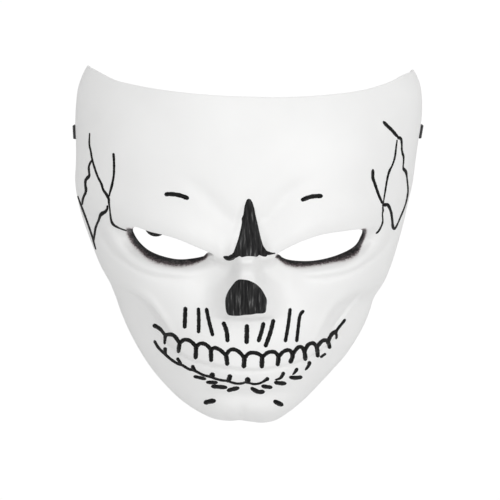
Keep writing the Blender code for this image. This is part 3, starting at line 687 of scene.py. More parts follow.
below_brow = step((0.4 - brow_above) / 1.2) * np.where(at[:, 0] < 0, step((-at[:, 0] - 17.5) / 4.0), 1.0)
spray[around_eyes] = (1 - step((distance - 0.25 * band) / (1.3 * band))) * below_brow


def node(tree, kind, **values):
    """A shader node with its inputs set by name."""
    made = tree.nodes.new(kind)
    for name, value in values.items():
        made.inputs[name.replace("_", " ")].default_value = value
    return made


# The unevenness of a finish: wide clouds where the coat is thicker, and the fine grain of its face.
mottle = bpy.data.node_groups.new("hand finish", "ShaderNodeTree")
mottle.interface.new_socket("Size", in_out="INPUT", socket_type="NodeSocketFloat")
mottle.interface.new_socket("Clouds", in_out="OUTPUT", socket_type="NodeSocketFloat")
mottle.interface.new_socket("Grain", in_out="OUTPUT", socket_type="NodeSocketFloat")
entry = mottle.nodes.new("NodeGroupInput")
leave = mottle.nodes.new("NodeGroupOutput")
coordinates = mottle.nodes.new("ShaderNodeTexCoord")
clouds = node(mottle, "ShaderNodeTexNoise", Scale=22.0, Detail=3.0, Roughness=0.5)
grain = node(mottle, "ShaderNodeTexNoise", Detail=4.0, Roughness=0.6)
mottle.links.new(coordinates.outputs["Object"], clouds.inputs["Vector"])
mottle.links.new(coordinates.outputs["Object"], grain.inputs["Vector"])
mottle.links.new(entry.outputs["Size"], grain.inputs["Scale"])
mottle.links.new(clouds.outputs["Fac"], leave.inputs["Clouds"])
mottle.links.new(grain.outputs["Fac"], leave.inputs["Grain"])


def new_finish(name, **values):
    """A material with its Principled shader's own values set by name."""
    made = bpy.data.materials.new(name)
    made.use_nodes = True
    shader = made.node_tree.nodes["Principled BSDF"]
    for key, value in values.items():
        shader.inputs[key.replace("_", " ")].default_value = value
    return made, made.node_tree, shader


def hand_finish(tree, size):
    """The clouds and the grain, placed in a material with its own size of grain."""
    made = tree.nodes.new("ShaderNodeGroup")
    made.node_tree = mottle
    made.inputs["Size"].default_value = size
    return made


def scaled(tree, source, low, high):
    """A noise's middle range, from 0.3 to 0.7, spread in a straight line from low to high."""
    made = node(tree, "ShaderNodeMapRange", From_Min=0.3, From_Max=0.7, To_Min=low, To_Max=high)
    tree.links.new(source, made.inputs["Value"])
    return made.outputs["Result"]


def bumped(tree, shader, source, depth):
    """Fine relief from a mask, its depth in metres."""
    made = node(tree, "ShaderNodeBump", Strength=1.0, Distance=depth)
    tree.links.new(source, made.inputs["Height"])
    tree.links.new(made.outputs["Normal"], shader.inputs["Normal"])


def toned(tree, source, stops):
    """A mask turned into a colour that runs straight between stops, each a place and a colour."""
    made = tree.nodes.new("ShaderNodeValToRGB")
    marks = made.color_ramp.elements
    for mark, (place, colour) in ((marks[0], stops[0]), (marks[1], stops[-1])):
        mark.position = place
        mark.color = colour + (1.0,)
    for place, colour in stops[1:-1]:
        marks.new(place).color = colour + (1.0,)
    tree.links.new(source, made.inputs["Fac"])
    return made.outputs["Color"]


painted_white, tree, shader = new_finish("white satin paint", IOR=1.46)
feel = hand_finish(tree, 260.0)
shade = toned(tree, feel.outputs["Clouds"], ((0.3, (0.84, 0.84, 0.835)), (0.7, (0.885, 0.885, 0.88))))

# The spray breaks up into specks where it is thin, and covers the white from half its strength on.
spray_amount = tree.nodes.new("ShaderNodeAttribute")
spray_amount.attribute_name = "spray"
specks = scaled(tree, hand_finish(tree, 900.0).outputs["Grain"], -0.35, 0.35)
edge_only = node(tree, "ShaderNodeMath")
edge_only.operation = "MULTIPLY"
tree.links.new(spray_amount.outputs["Fac"], edge_only.inputs[0])
tree.links.new(specks, edge_only.inputs[1])
sprayed = node(tree, "ShaderNodeMath")
tree.links.new(spray_amount.outputs["Fac"], sprayed.inputs[0])
tree.links.new(edge_only.outputs["Value"], sprayed.inputs[1])
spray_cover = node(tree, "ShaderNodeMapRange", From_Max=0.5)
tree.links.new(sprayed.outputs["Value"], spray_cover.inputs["Value"])
SPRAY_TONES = ((0.0, (0.62, 0.56, 0.56)), (0.6, (0.085, 0.066, 0.07)), (0.95, (0.006, 0.0055, 0.006)))
mix = tree.nodes.new("ShaderNodeMix")
mix.data_type = "RGBA"
tree.links.new(spray_cover.outputs["Result"], mix.inputs["Factor"])
tree.links.new(shade, mix.inputs["A"])
tree.links.new(toned(tree, sprayed.outputs["Value"], SPRAY_TONES), mix.inputs["B"])
tree.links.new(mix.outputs["Result"], shader.inputs["Base Color"])
tree.links.new(scaled(tree, feel.outputs["Clouds"], 0.38, 0.5), shader.inputs["Roughness"])
bumped(tree, shader, feel.outputs["Grain"], 0.00005)

bare_white, tree, shader = new_finish("bare white plastic", IOR=1.46)
feel = hand_finish(tree, 90.0)
shade = toned(tree, feel.outputs["Clouds"], ((0.0, (0.80, 0.80, 0.79)), (1.0, (0.86, 0.86, 0.855))))
tree.links.new(shade, shader.inputs["Base Color"])
tree.links.new(scaled(tree, feel.outputs["Clouds"], 0.3, 0.42), shader.inputs["Roughness"])
bumped(tree, shader, feel.outputs["Grain"], 0.00008)

inner_quads, inner_triangles = quads[:, ::-1] + total, triangles[:, ::-1] + total
skins = [(quads, 0), (triangles, 0), (inner_quads, 1), (inner_triangles, 1), (strips, 0)]
shell = mesh_piece("mask_shell_moulding", shell_verts, skins, [painted_white, bare_white])
spray_layer = shell.data.attributes.new("spray", "FLOAT", "POINT")
spray_layer.data.foreach_set("value", spray)
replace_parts(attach(shell, "root"), "mask_shell")


# The hand-painted lines
# Black acrylic laid on with small round brushes, in a thin coat that stands a little proud of the
# white. Each stroke follows its place in the photograph, thrown onto the shell along the sight line.

# How deep the paint is set into the wall and how far its edge stands out, in millimetres. The rest is
# in the photograph's pixels: how much wider a stroke is laid than it shows, and the steps along it and
# round a painted area.
PAINT_BED = 0.14
PAINT_EDGE = 0.12
PAINT_SHY = 0.5
STROKE_STEP = 0.7
PATCH_STEP = 0.8

# The heights above the table at which a sight line is first sampled: from, to and the gap between
# them. Then the number of times that the gap is halved.
SIGHT_HEIGHTS = (88.0, 2.0, -1.5)
SIGHT_HALVINGS = 10

# Brush strokes in the photograph's pixels: each has its width, the share by which it thins towards
# its end where three things are given, and its line. Lines without a width share the one below them.
TOOTH_TICKS = (
    (3.9, ((185.4, 308.4), (185.0, 318.0), (184.7, 327.0))),
    (3.4, ((198.4, 308.9), (198.8, 320.0), (198.6, 332.0))),
    (3.5, ((206.5, 309.2), (209.2, 322.0), (212.6, 334.9))),
    (4.1, ((223.6, 323.2), (226.5, 331.0), (227.5, 340.6))),
    (4.5, ((246.9, 326.0), (246.8, 334.0), (246.6, 342.2))),
    (3.9, ((263.4, 323.6), (261.4, 332.0), (258.6, 340.8))),
    (4.0, ((273.3, 320.6), (270.2, 333.0), (265.6, 345.8))),
    (3.3, ((290.1, 309.4), (288.2, 325.0), (285.4, 341.0))),
    (3.1, ((303.3, 311.2), (300.0, 315.6), (298.2, 328.0), (296.7, 341.0))),
)
UPPER_TAILS = (
    (4.6, 0.45, ((154.3, 325.6), (157.9, 327.4), (161.4, 330.3), (165.0, 335.0))),
    (2.4, 0.0, ((336.2, 331.2), (338.8, 327.4), (342.1, 323.4), (345.0, 319.6))),
)
DIVIDERS = (
    (3.6, 0.4, ((165.3, 335.6), (164.9, 340.0), (164.7, 343.0))),
    (4.2, 0.1, ((179.6, 343.6), (178.9, 348.0), (178.4, 351.4))),
    (4.2, 0.0, ((196.1, 346.0), (195.9, 352.0), (195.6, 357.6))),
    (4.4, 0.1, ((210.9, 349.2), (211.0, 355.0), (211.2, 360.2))),
    (4.3, 0.0, ((225.9, 354.5), (226.8, 360.0), (227.2, 364.0))),
    (4.6, 0.0, ((244.4, 357.5), (244.2, 362.0), (243.8, 366.4))),
    (4.6, 0.0, ((262.1, 356.0), (262.0, 361.0), (261.8, 366.4))),
    (4.3, 0.0, ((278.4, 355.8), (278.3, 360.0), (277.6, 364.4))),
    (4.2, 0.0, ((292.1, 353.4), (292.5, 356.8), (290.4, 361.8))),
    (4.2, 0.0, ((304.2, 350.5), (305.0, 355.0), (305.3, 359.2))),
    (4.1, 0.0, ((316.5, 346.2), (317.4, 351.0), (317.7, 355.8))),
    (3.8, 0.0, ((326.9, 340.8), (328.9, 344.0), (329.4, 347.4))),
    (3.4, 0.5, ((335.0, 332.4), (336.5, 335.4), (336.1, 338.0))),
)
ARCHES = (
    ((165.1, 335.3), (168.4, 334.5), (172.5, 334.9), (175.8, 337.5), (178.9, 342.2)),
    ((179.6, 343.6), (183.2, 340.2), (187.9, 340.0), (191.9, 342.2), (195.8, 346.4)),
    ((196.4, 346.8), (199.2, 344.0), (203.3, 343.6), (207.3, 345.6), (211.0, 349.7)),
    ((211.0, 350.4), (214.0, 347.9), (218.7, 349.2), (222.0, 351.5), (225.7, 355.2)),
    ((225.8, 355.9), (229.0, 350.9), (233.4, 349.4), (238.1, 351.2), (241.8, 354.7), (244.3, 358.0)),
    ((244.6, 358.4), (248.1, 353.9), (253.0, 352.7), (258.4, 353.9), (262.2, 356.6)),
    ((262.4, 357.3), (267.2, 352.9), (272.3, 351.8), (275.8, 352.9), (278.3, 356.2)),
    ((278.6, 357.3), (282.3, 352.5), (287.0, 350.2), (290.4, 350.9), (292.5, 354.0)),
    ((292.6, 354.4), (296.8, 348.6), (300.4, 346.8), (303.1, 348.7), (304.6, 352.4)),
    ((304.7, 351.2), (307.8, 345.2), (311.9, 343.2), (314.7, 344.2), (316.7, 347.4)),
    ((317.0, 347.2), (320.5, 342.5), (324.0, 340.3), (327.4, 340.6)),
    ((328.1, 341.2), (330.8, 335.6), (333.9, 332.3), (336.2, 331.5)),
)
ARCH_WIDTH = 3.7
LOWER_LINE = (
    (154.4, 340.8), (158.4, 347.5), (164.4, 353.5), (170.5, 358.9), (177.2, 363.4), (182.5, 365.3),
    (188.5, 368.9), (192.9, 370.1), (197.2, 371.9), (203.3, 375.0), (209.3, 376.5), (215.3, 378.6),
    (222.0, 380.3), (227.4, 380.8), (231.4, 382.3), (236.8, 383.5), (242.1, 383.3), (245.4, 382.3),
    (249.2, 382.9), (253.7, 384.0), (258.4, 383.6), (262.4, 382.0), (265.4, 379.8),
)
LOWER_WIDTH = 2.6
LOWER_NUBS = (
    (3.9, 0.4, ((165.1, 349.0), (165.3, 351.4), (165.6, 353.8))),
    (3.5, 0.4, ((177.8, 359.0), (179.2, 361.0), (180.8, 363.4))),
    (4.4, 0.6, ((192.9, 366.9), (194.0, 368.9), (195.8, 370.9))),
    (5.3, 0.0, ((212.2, 374.9), (212.3, 375.3), (212.4, 375.7))),
    (5.5, 0.3, ((229.7, 376.8), (229.4, 378.2), (228.6, 380.0))),
    (5.5, 0.0, ((247.7, 379.6), (247.7, 380.2), (247.8, 380.8))),
    (4.0, 0.5, ((267.4, 378.9), (265.6, 380.0), (263.4, 381.5))),
    (4.2, 0.7, ((283.2, 373.6), (281.8, 376.2), (279.6, 378.4), (276.6, 379.4))),
    (3.9, 0.6, ((296.6, 369.5), (295.4, 371.4), (293.6, 373.6))),
    (4.2, 0.6, ((309.3, 363.0), (308.6, 365.4), (306.2, 368.7))),
    (2.2, 0.0, ((325.2, 354.0), (323.2, 355.2), (321.0, 357.0))),
)
LEAVES = (
    (3.0, ((194.2, 376.5), (199.8, 377.6), (205.6, 379.0))),
    (3.4, ((206.9, 382.2), (211.8, 382.4), (217.0, 382.5))),
    (3.8, ((212.0, 386.3), (219.0, 386.8), (226.3, 387.4))),
    (4.0, ((227.9, 390.5), (233.4, 389.0), (238.5, 388.0))),
    (4.1, ((251.5, 388.2), (255.0, 390.3), (259.1, 391.9), (263.9, 391.6))),
    (3.7, ((262.1, 386.0), (266.8, 386.8), (271.5, 387.3))),
    (3.9, ((275.0, 382.4), (280.4, 383.2), (285.5, 383.4))),
    (3.8, ((290.0, 377.2), (295.2, 377.8), (301.5, 377.1))),
)
CHIN_STROKES = (
    ((205.2, 402.6), (209.8, 401.4), (214.4, 400.8)),
    ((274.8, 401.4), (278.4, 403.2), (281.9, 404.7)),
)
CHIN_WIDTH = 4.6
FOREHEAD_STROKES = (
    ((165.9, 194.4), (171.0, 194.1), (179.9, 195.4), (187.6, 198.2)),
    ((302.3, 199.9), (311.2, 196.7), (321.4, 196.0)),
)
FOREHEAD_WIDTH = 4.1

# The cracks' points also give the line's own width there: they run from hairlines to blots.
TEMPLE_CRACKS = (
    (
        (89.7, 132.9, 0.7), (89.4, 144.1, 1.3), (90.8, 151.0, 1.4), (92.1, 158.8, 1.5),
        (94.5, 167.4, 1.6), (97.9, 176.9, 1.7), (101.4, 183.8, 1.9), (103.3, 189.8, 2.0),
        (106.6, 194.6, 2.6), (108.7, 198.9, 2.3), (109.0, 202.8, 1.7), (109.8, 208.8, 1.0),
        (110.5, 215.7, 1.4), (111.4, 220.9, 1.9), (113.3, 224.5, 2.2), (116.9, 226.9, 1.5),
        (121.2, 228.8, 1.0), (126.8, 230.8, 0.8),
    ),
    (
        (113.4, 153.6, 2.6), (113.9, 158.8, 2.0), (114.1, 166.6, 2.0), (113.9, 174.3, 1.8),
        (113.0, 180.3, 1.8), (111.5, 187.2, 2.2), (110.0, 192.4, 1.5), (109.1, 196.7, 1.2),
    ),
    (
        (91.9, 160.1, 1.3), (90.2, 163.1, 1.6), (88.9, 167.0, 1.7), (89.1, 171.7, 1.7),
        (89.3, 175.2, 2.0), (87.8, 177.6, 3.2), (85.7, 180.3, 2.4), (85.4, 184.7, 2.0),
        (86.0, 189.0, 2.4), (85.7, 192.4, 2.2), (84.1, 195.9, 1.9), (82.8, 199.7, 1.9),
        (82.4, 204.9, 0.8),
    ),
    (
        (77.7, 195.9, 0.7), (82.3, 208.4, 1.6), (87.2, 221.6, 1.5), (91.9, 235.3, 1.5),
        (94.2, 243.6, 1.2), (96.0, 249.7, 0.6),
    ),
    (
        (107.4, 205.3, 1.2), (107.2, 208.8, 1.9), (105.3, 211.6, 2.9), (102.2, 213.5, 3.8),
        (100.3, 215.7, 2.7), (98.8, 220.0, 1.9), (96.9, 224.3, 1.9), (95.5, 228.6, 1.9),
        (94.8, 232.9, 1.7), (94.1, 238.1, 1.4), (93.6, 241.6, 0.9),
    ),
    (
        (383.4, 121.6, 2.5), (386.7, 125.3, 3.2), (390.2, 128.5, 3.1), (393.2, 131.6, 3.0),
        (395.8, 134.8, 2.8), (397.9, 136.7, 2.8),
    ),
    (
        (397.9, 138.0, 3.2), (399.8, 138.0, 3.2), (401.2, 139.7, 2.1), (401.7, 144.5, 1.4),
        (401.8, 149.7, 1.4), (402.7, 154.0, 1.9), (403.5, 157.0, 1.5), (403.5, 161.7, 1.0),
        (403.1, 166.9, 1.1), (404.1, 169.5, 2.8), (405.7, 171.6, 2.8), (406.6, 175.5, 1.3),
        (407.2, 180.7, 1.1), (407.8, 186.7, 1.1), (407.9, 191.9, 1.2), (407.0, 197.9, 1.2),
        (405.3, 204.8, 0.9), (402.7, 211.7, 1.1), (400.1, 217.8, 1.1), (397.9, 222.9, 1.1),
        (395.8, 227.2, 1.5), (394.1, 229.4, 2.2),
    ),
    (
        (397.1, 139.7, 0.8), (396.2, 146.2, 1.1), (395.3, 154.0, 1.5), (394.1, 160.0, 1.4),
        (391.9, 166.0, 1.2), (389.7, 170.3, 1.9), (388.0, 175.5, 1.7), (386.7, 181.6, 1.4),
        (385.6, 188.4, 1.4), (384.6, 194.5, 1.1), (383.4, 202.2, 0.7), (382.8, 207.4, 1.0),
        (383.0, 210.4, 1.3), (382.4, 214.3, 0.8), (382.7, 221.2, 1.1), (381.1, 226.4, 1.3),
        (378.5, 231.1, 1.6), (375.9, 233.5, 1.2),
    ),
    (
        (372.9, 169.5, 2.2), (372.8, 173.8, 2.9), (372.9, 178.1, 2.8), (374.7, 183.3, 2.6),
        (376.4, 188.4, 2.4), (378.5, 194.5, 2.3), (380.7, 199.7, 2.1), (382.6, 203.5, 2.4),
    ),
    (
        (382.6, 205.3, 2.4), (385.4, 204.8, 3.4), (387.6, 204.8, 3.1), (389.3, 207.4, 2.6),
        (390.9, 211.7, 2.1), (391.7, 216.0, 2.1), (392.3, 221.2, 1.9), (392.8, 226.4, 2.4),
        (393.8, 229.4, 2.3),
    ),
)


def face_height(x, y):
    """The outer surface's height over (x, y): the rim's height plus the form's share of the rise."""
    share = np.hypot(x, y - CENTRE_HEIGHT) / outline_radius(np.arctan2(y - CENTRE_HEIGHT, x))
    rim = table(y, RIM)
    return rim + (front(x, y) - rim) * np.interp(share, REACH[:-1], FALL[:-1])


def on_pattern(pixels):
    """The pattern's points that show at the given pixels.

    Each sight line is sampled from the camera down, and the first interval in which it goes under the
    surface is halved until the crossing is found."""
    levels = np.arange(*SIGHT_HEIGHTS)
    many = np.repeat(pixels, len(levels), axis=0)
    spots = through_photo(many, np.tile(levels, len(pixels)))
    over = (spots[:, 2] - face_height(spots[:, 0], spots[:, 1])).reshape(len(pixels), -1)
    hit = np.argmax(over < 0, axis=1)
    high, low = levels[np.maximum(hit - 1, 0)], levels[hit]
    for _ in range(SIGHT_HALVINGS):
        half = (high + low) / 2
        spots = through_photo(pixels, half)
        above = spots[:, 2] > face_height(spots[:, 0], spots[:, 1])
        high, low = np.where(above, half, high), np.where(above, low, half)
    return to_pattern(spots[:, 0], spots[:, 1])


def tube_faces(rings, count, first=0):
    """The four-sided faces between neighbouring rings of a tube, each with count points."""
    ring = np.arange(count)
    start = first + np.arange(rings - 1)[:, None] * count
    on = (ring + 1) % count
    faces = np.stack([start + ring, start + count + ring, start + count + on, start + on], axis=2)
    return faces.reshape(-1, 4)


def brush_stroke(line, width, blunt=1.0, crown=0.12, seed=0, taper=0.0):
    """One stroke as a closed ring carried along its line: points, faces, caps and UV in millimetres.

    It is laid out in the photograph's pixels. The ring's top is a shallow arch over the stroke's
    width, and its bottom lies inside the shell. The width, which a third column of the line may give
    point by point, grows from nothing at each end as a circle does, stretched into a point where
    blunt is low. It thins by the share taper from the start to the end, and wavers as a sum of two
    sine waves."""
    line = np.array(line)
    if line.shape[1] == 2:
        line = np.column_stack([line, np.full(len(line), width)])
    for end, beside in ((0, 1), (-1, -2)):
        out = line[end, :2] - line[beside, :2]
        line[end, :2] += out / np.linalg.norm(out) * line[end, 2] / 2 * min(1.0, blunt)
    spine = respaced(smooth_line(line, False), STROKE_STEP, False)
    half = (spine[:, 2] + PAINT_SHY) / 2
    spine = spine[:, :2]
    run = run_of(spine)
    reach = np.minimum(half / blunt, run[-1] * 0.48)
    end = np.clip(np.minimum(run, run[-1] - run) / reach, 0.0, 1.0)
    waver = 1 + 0.05 * np.sin(run * 0.95 + seed * 2.1) + 0.04 * np.sin(run * 2.15 + seed * 5.7)
    size = half * np.maximum(np.sqrt(1 - (1 - end) ** 2), 0.06) * waver * (1 - taper * run / run[-1])
    ahead = np.gradient(spine, axis=0)
    across = unit(np.stack([ahead[:, 1], -ahead[:, 0]], axis=1))
    share = np.array([-1.0, -0.86, -0.5, 0.0, 0.5, 0.86, 1.0, 0.6, 0.0, -0.6])
    lift = np.append(PAINT_EDGE + crown * np.sqrt(1 - share[:7] ** 2), np.full(3, -PAINT_BED))
    lift[[0, 6]] = -PAINT_BED / 2
    spread = size[:, None] * share[None]
    places = on_pattern((spine[:, None] + spread[:, :, None] * across[:, None]).reshape(-1, 2))
    count = len(share)
    lift = np.tile(lift, len(spine))
    height = np.where(lift < 0, lift, lift * np.repeat(np.minimum(0.35 + 0.65 * end, 1.0), count))
    points = shell_points(places) + shell_normals(places) * height[:, None]
    ring = np.arange(count)
    caps = np.stack([ring, ring[::-1] + (len(spine) - 1) * count])
    marks = np.stack([spread, np.repeat(run[:, None], count, axis=1)], axis=2) * PHOTO_FIELD / PHOTO_SIZE
    return points, tube_faces(len(spine), count), caps, marks.reshape(-1, 2)


def paint_patch(border, centre, crown=0.14):
    """A painted area as a closed polar grid: rings from its centre out to the border, and back inside.

    Its top is flat, and falls to the border as the root of one less the tenth power of the share of
    the way out."""
    edge = respaced(smooth_line(border, True), PATCH_STEP, True)
    grow = np.append(np.linspace(0.0, 0.9, 16)[1:], [0.94, 0.975, 1.0])
    rows = np.concatenate([grow, grow[::-1][1:]])
    top = PAINT_EDGE + crown * (1 - grow**10) ** 0.5
    lift = np.concatenate([top, np.full(len(grow) - 1, -PAINT_BED)])
    lift[len(grow) - 1] = -PAINT_BED / 2
    centre = np.array(centre)
    pixels = (centre + rows[:, None, None] * (edge - centre)).reshape(-1, 2)
    pixels = np.vstack([centre[None], pixels, centre[None]])
    lift = np.concatenate([[PAINT_EDGE + crown], np.repeat(lift, len(edge)), [-PAINT_BED]])
    places = on_pattern(pixels)
    points = shell_points(places) + shell_normals(places) * lift[:, None]
    count = len(edge)
    ring = np.arange(count)
    on = (ring + 1) % count
    last = 1 + (len(rows) - 1) * count
    top_tip = np.stack([np.zeros(count, int), 1 + ring, 1 + on], axis=1)
    inner_tip = np.stack([np.full(count, len(points) - 1), last + on, last + ring], axis=1)
    return points, tube_faces(len(rows), count, 1), np.vstack([top_tip, inner_tip]), points[:, :2]


def lay_map(made, name, groups, marks):
    """A UV map, in millimetres, from one mark for each point."""
    layer = made.data.uv_layers.new(name=name)
    order = np.concatenate([group.ravel() for group, _ in groups])
    layer.data.foreach_set("uv", marks[order].ravel())


def painted(name, parts, finish):
    """One object from many strokes or patches, with their UV map."""
    points, groups, marks = [], [], []
    first = 0
    for part_points, quads, closing, part_marks in parts:
        points.append(part_points)
        groups += [(quads + first, 0), (closing + first, 0)]
        marks.append(part_marks)
        first += len(part_points)
    made = mesh_piece(name, np.vstack(points), groups, [finish])
    lay_map(made, "brush", groups, np.vstack(marks))
    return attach(made, "root")


def acrylic(name, streak_size, dark, mid, light):
    """Black paint with the brush's streaks along it: the streaks are greyer and duller, their lighter
    grey being painted sheen off the brush marks' ridges as well as thinner paint.
    """
    paint, tree, shader = new_finish(name, IOR=1.4, Specular_IOR_Level=0.1)
    brush_map = tree.nodes.new("ShaderNodeUVMap")
    brush_map.uv_map = "brush"
    stretched = node(tree, "ShaderNodeMapping", Scale=streak_size)
    streaks_and_sheen = node(tree, "ShaderNodeTexNoise", Scale=1.0, Detail=3.0, Roughness=0.55)
    tree.links.new(brush_map.outputs["UV"], stretched.inputs["Vector"])
    tree.links.new(stretched.outputs["Vector"], streaks_and_sheen.inputs["Vector"])
    # The mid and light tones along the streaks are partly painted sheen off the brush marks' ridges, not
    # only the paint's own grey.
    tones = ((0.4, (dark, dark, dark * 1.05)), (0.58, (mid, mid, mid)), (0.74, (light, light, light)))
    tree.links.new(toned(tree, streaks_and_sheen.outputs["Fac"], tones), shader.inputs["Base Color"])
    tree.links.new(scaled(tree, streaks_and_sheen.outputs["Fac"], 0.46, 0.66), shader.inputs["Roughness"])
    bumped(tree, shader, streaks_and_sheen.outputs["Fac"], 0.00012)
    return paint


# Both black paints are lighter grey along their brush streaks, and that grey is partly painted sheen.
# The one brushed out thin, on the frown and the nose, is greyer still. That comes from its thin coat and
# from a stronger painted sheen.
black_paint = acrylic("black brushed acrylic", (1.5, 0.15, 1.0), 0.0025, 0.018, 0.1)
thin_paint_with_sheen = acrylic("black acrylic brushed out thin with painted sheen", (0.8, 0.1, 1.0), 0.011, 0.034, 0.2)

teeth = [brush_stroke(line, width, 0.9, seed=i) for i, (width, line) in enumerate(TOOTH_TICKS)]
teeth += [brush_stroke(line, ARCH_WIDTH, 1.0, seed=i + 30) for i, line in enumerate(ARCHES)]
for strokes, blunt in ((DIVIDERS, 0.9), (UPPER_TAILS, 0.8), (LOWER_NUBS, 1.0)):
    for i, (width, taper, line) in enumerate(strokes):
        teeth.append(brush_stroke(line, width, blunt, seed=i, taper=taper))
teeth.append(brush_stroke(LOWER_LINE, LOWER_WIDTH, 0.6, 0.08, 3, 0.25))
painted("painted_teeth", teeth, black_paint)

lips = [brush_stroke(line, width, 0.6, seed=i) for i, (width, line) in enumerate(LEAVES)]
lips += [brush_stroke(line, CHIN_WIDTH, 0.75, seed=i + 9) for i, line in enumerate(CHIN_STROKES)]
painted("painted_chin_strokes", lips, black_paint)
brows = [brush_stroke(line, FOREHEAD_WIDTH, 0.8, seed=i) for i, line in enumerate(FOREHEAD_STROKES)]
painted("painted_forehead_strokes", brows, black_paint)
cracks = [brush_stroke(line, 0.0, 0.6, 0.06, i) for i, line in enumerate(TEMPLE_CRACKS)]
painted("painted_temple_cracks", cracks, black_paint)

# The wedge between the brows and its two lower tails, and the tip of the nose.
FROWN = (
    (248.8, 198.3), (250.8, 199.5), (252.7, 202.9), (254.4, 208.9), (255.8, 215.8), (257.5, 222.7),
    (259.4, 231.3), (261.1, 238.2), (263.5, 245.8), (266.5, 250.2), (268.0, 253.4), (266.4, 256.6),
    (262.5, 256.4), (259.3, 255.2), (256.9, 256.8), (253.1, 256.4), (248.8, 256.2), (245.3, 256.6),
    (241.9, 257.3), (239.3, 256.2), (235.8, 257.9), (232.8, 256.8), (233.6, 252.0), (235.5, 246.8),
    (238.1, 239.1), (240.0, 231.3), (241.7, 222.7), (241.6, 218.4), (243.3, 214.1), (244.2, 207.2),
    (245.4, 202.9), (246.8, 199.5),
)
FROWN_TAILS = (
    (
        (223.6, 256.7, 0.9), (226.0, 257.7, 3.6), (229.2, 258.2, 4.9), (233.2, 256.4, 5.4),
        (237.0, 253.0, 5.4),
    ),
    (
        (259.0, 250.5, 5.0), (265.0, 252.5, 4.4), (269.6, 253.4, 2.6), (273.0, 253.4, 1.1),
        (275.2, 253.2, 0.6),
    ),
)
NOSE_TIP = (
    (239.3, 279.3), (244.5, 279.5), (249.6, 280.6), (255.8, 283.7), (261.0, 288.4), (264.6, 294.1),
    (267.0, 299.8), (266.6, 306.3), (265.9, 311.5), (263.4, 313.4), (256.5, 313.8), (251.3, 314.7),
    (244.5, 315.1), (238.4, 316.0), (229.8, 315.6), (227.0, 313.7), (225.5, 308.9), (225.2, 299.4),
    (227.4, 292.4), (231.3, 286.3), (235.6, 281.1),
)
frown = [paint_patch(FROWN, (248.5, 247.0))]
frown += [brush_stroke(line, 0.0, 0.9, seed=i) for i, line in enumerate(FROWN_TAILS)]
painted("painted_frown", frown, thin_paint_with_sheen)
painted("painted_nose", [paint_patch(NOSE_TIP, (246.0, 299.0))], thin_paint_with_sheen)


# The strap
# A flat black elastic, 7 mm wide. Each end goes under the rim, in through the slot in the temple and
# back along itself, where it is sewn down. Between the slots it lies in a loose loop, half on its
# edge. The stitches are black thread.

# Its width and thickness, its gap to the wall and to itself, its height above the table, how far its
# ends reach in, the radius of its turns, its rubber cords, how deep they show, and the steps along it.
STRAP_WIDTH = 7.0
STRAP_THICK = 1.0
STRAP_GAP = 0.5
STRAP_LIFT = 0.35
STRAP_END = 14.0
STRAP_TURN = 1.3
STRAP_RIBS = 8
RIB_DEPTH = 0.07
STRAP_STEP = 0.45

# The loose loop's way over the table, and how many degrees the strap stands up from lying flat.
STRAP_ROUTE = (
    (-65.5, 47.0, 8.0), (-58.5, 36.0, 34.0), (-55.5, 22.0, 58.0), (-53.6, 8.0, 64.0),
    (-51.4, 1.0, 62.0), (-48.4, -1.6, 60.0), (-44.6, -0.6, 62.0), (-41.6, 6.0, 64.0),
    (-38.0, 20.0, 60.0), (-31.0, 36.0, 56.0), (-18.0, 47.0, 52.0), (0.0, 52.0, 48.0),
    (20.0, 48.0, 52.0), (37.0, 38.0, 56.0), (50.0, 34.0, 44.0), (60.0, 39.0, 20.0),
    (66.5, 47.0, 5.0),
)


def filleted(corners, radius, count=12):
    """A line of straight runs whose corners are turned into arcs of a radius that touch both runs."""
    corners = [np.array(c, float) for c in corners]
    points = [corners[0]]
    for before, corner, after in zip(corners, corners[1:], corners[2:]):
        back = (before - corner) / np.linalg.norm(before - corner)
        on = (after - corner) / np.linalg.norm(after - corner)
        half = math.acos(float(np.clip(back @ on, -1, 1))) / 2
        centre = corner + (back + on) / np.linalg.norm(back + on) * radius / math.sin(half)
        start, end = corner + (back, on) * np.array(radius / math.tan(half)) - centre
        t = np.linspace(0, 1, count)[:, None]
        arms = start * (1 - t) + end * t
        points.append(centre + arms / np.linalg.norm(arms, axis=1)[:, None] * radius)
    return np.vstack(points + [corners[-1]])


def strap_loop(side):
    """One end of the strap: its middle line from the sewn end to where it lies flat under the rim, the
    way its width runs there, and the way out of the shell."""
    angle, speed = slot_angle(side)
    base = shell_points(rim_point(np.array([angle]), np.array([SLOT_ABOVE_RIM])))[0]
    beside = np.array([angle - 1 / speed, angle + 1 / speed])
    along = shell_points(rim_point(beside, np.full(2, SLOT_ABOVE_RIM)))
    along = along[1, :2] - along[0, :2]
    along = along / np.linalg.norm(along) * np.sign(along[1])
    out = np.array([along[1], -along[0]]) * side
    low = STRAP_LIFT + STRAP_THICK / 2
    inner = -WALL - STRAP_GAP - STRAP_THICK / 2
    outer = STRAP_GAP + STRAP_THICK / 2
    sewn = low + STRAP_THICK + STRAP_GAP
    over = ((-STRAP_END, sewn), (inner, sewn), (inner, base[2]))
    under = ((outer, base[2]), (outer, low), (-STRAP_END, low))
    path = filleted(over + under, STRAP_TURN)
    points = np.column_stack([base[:2] + path[:, :1] * out, path[:, 1]])
    return points, np.tile(np.append(along, 0.0), (len(points), 1)), out


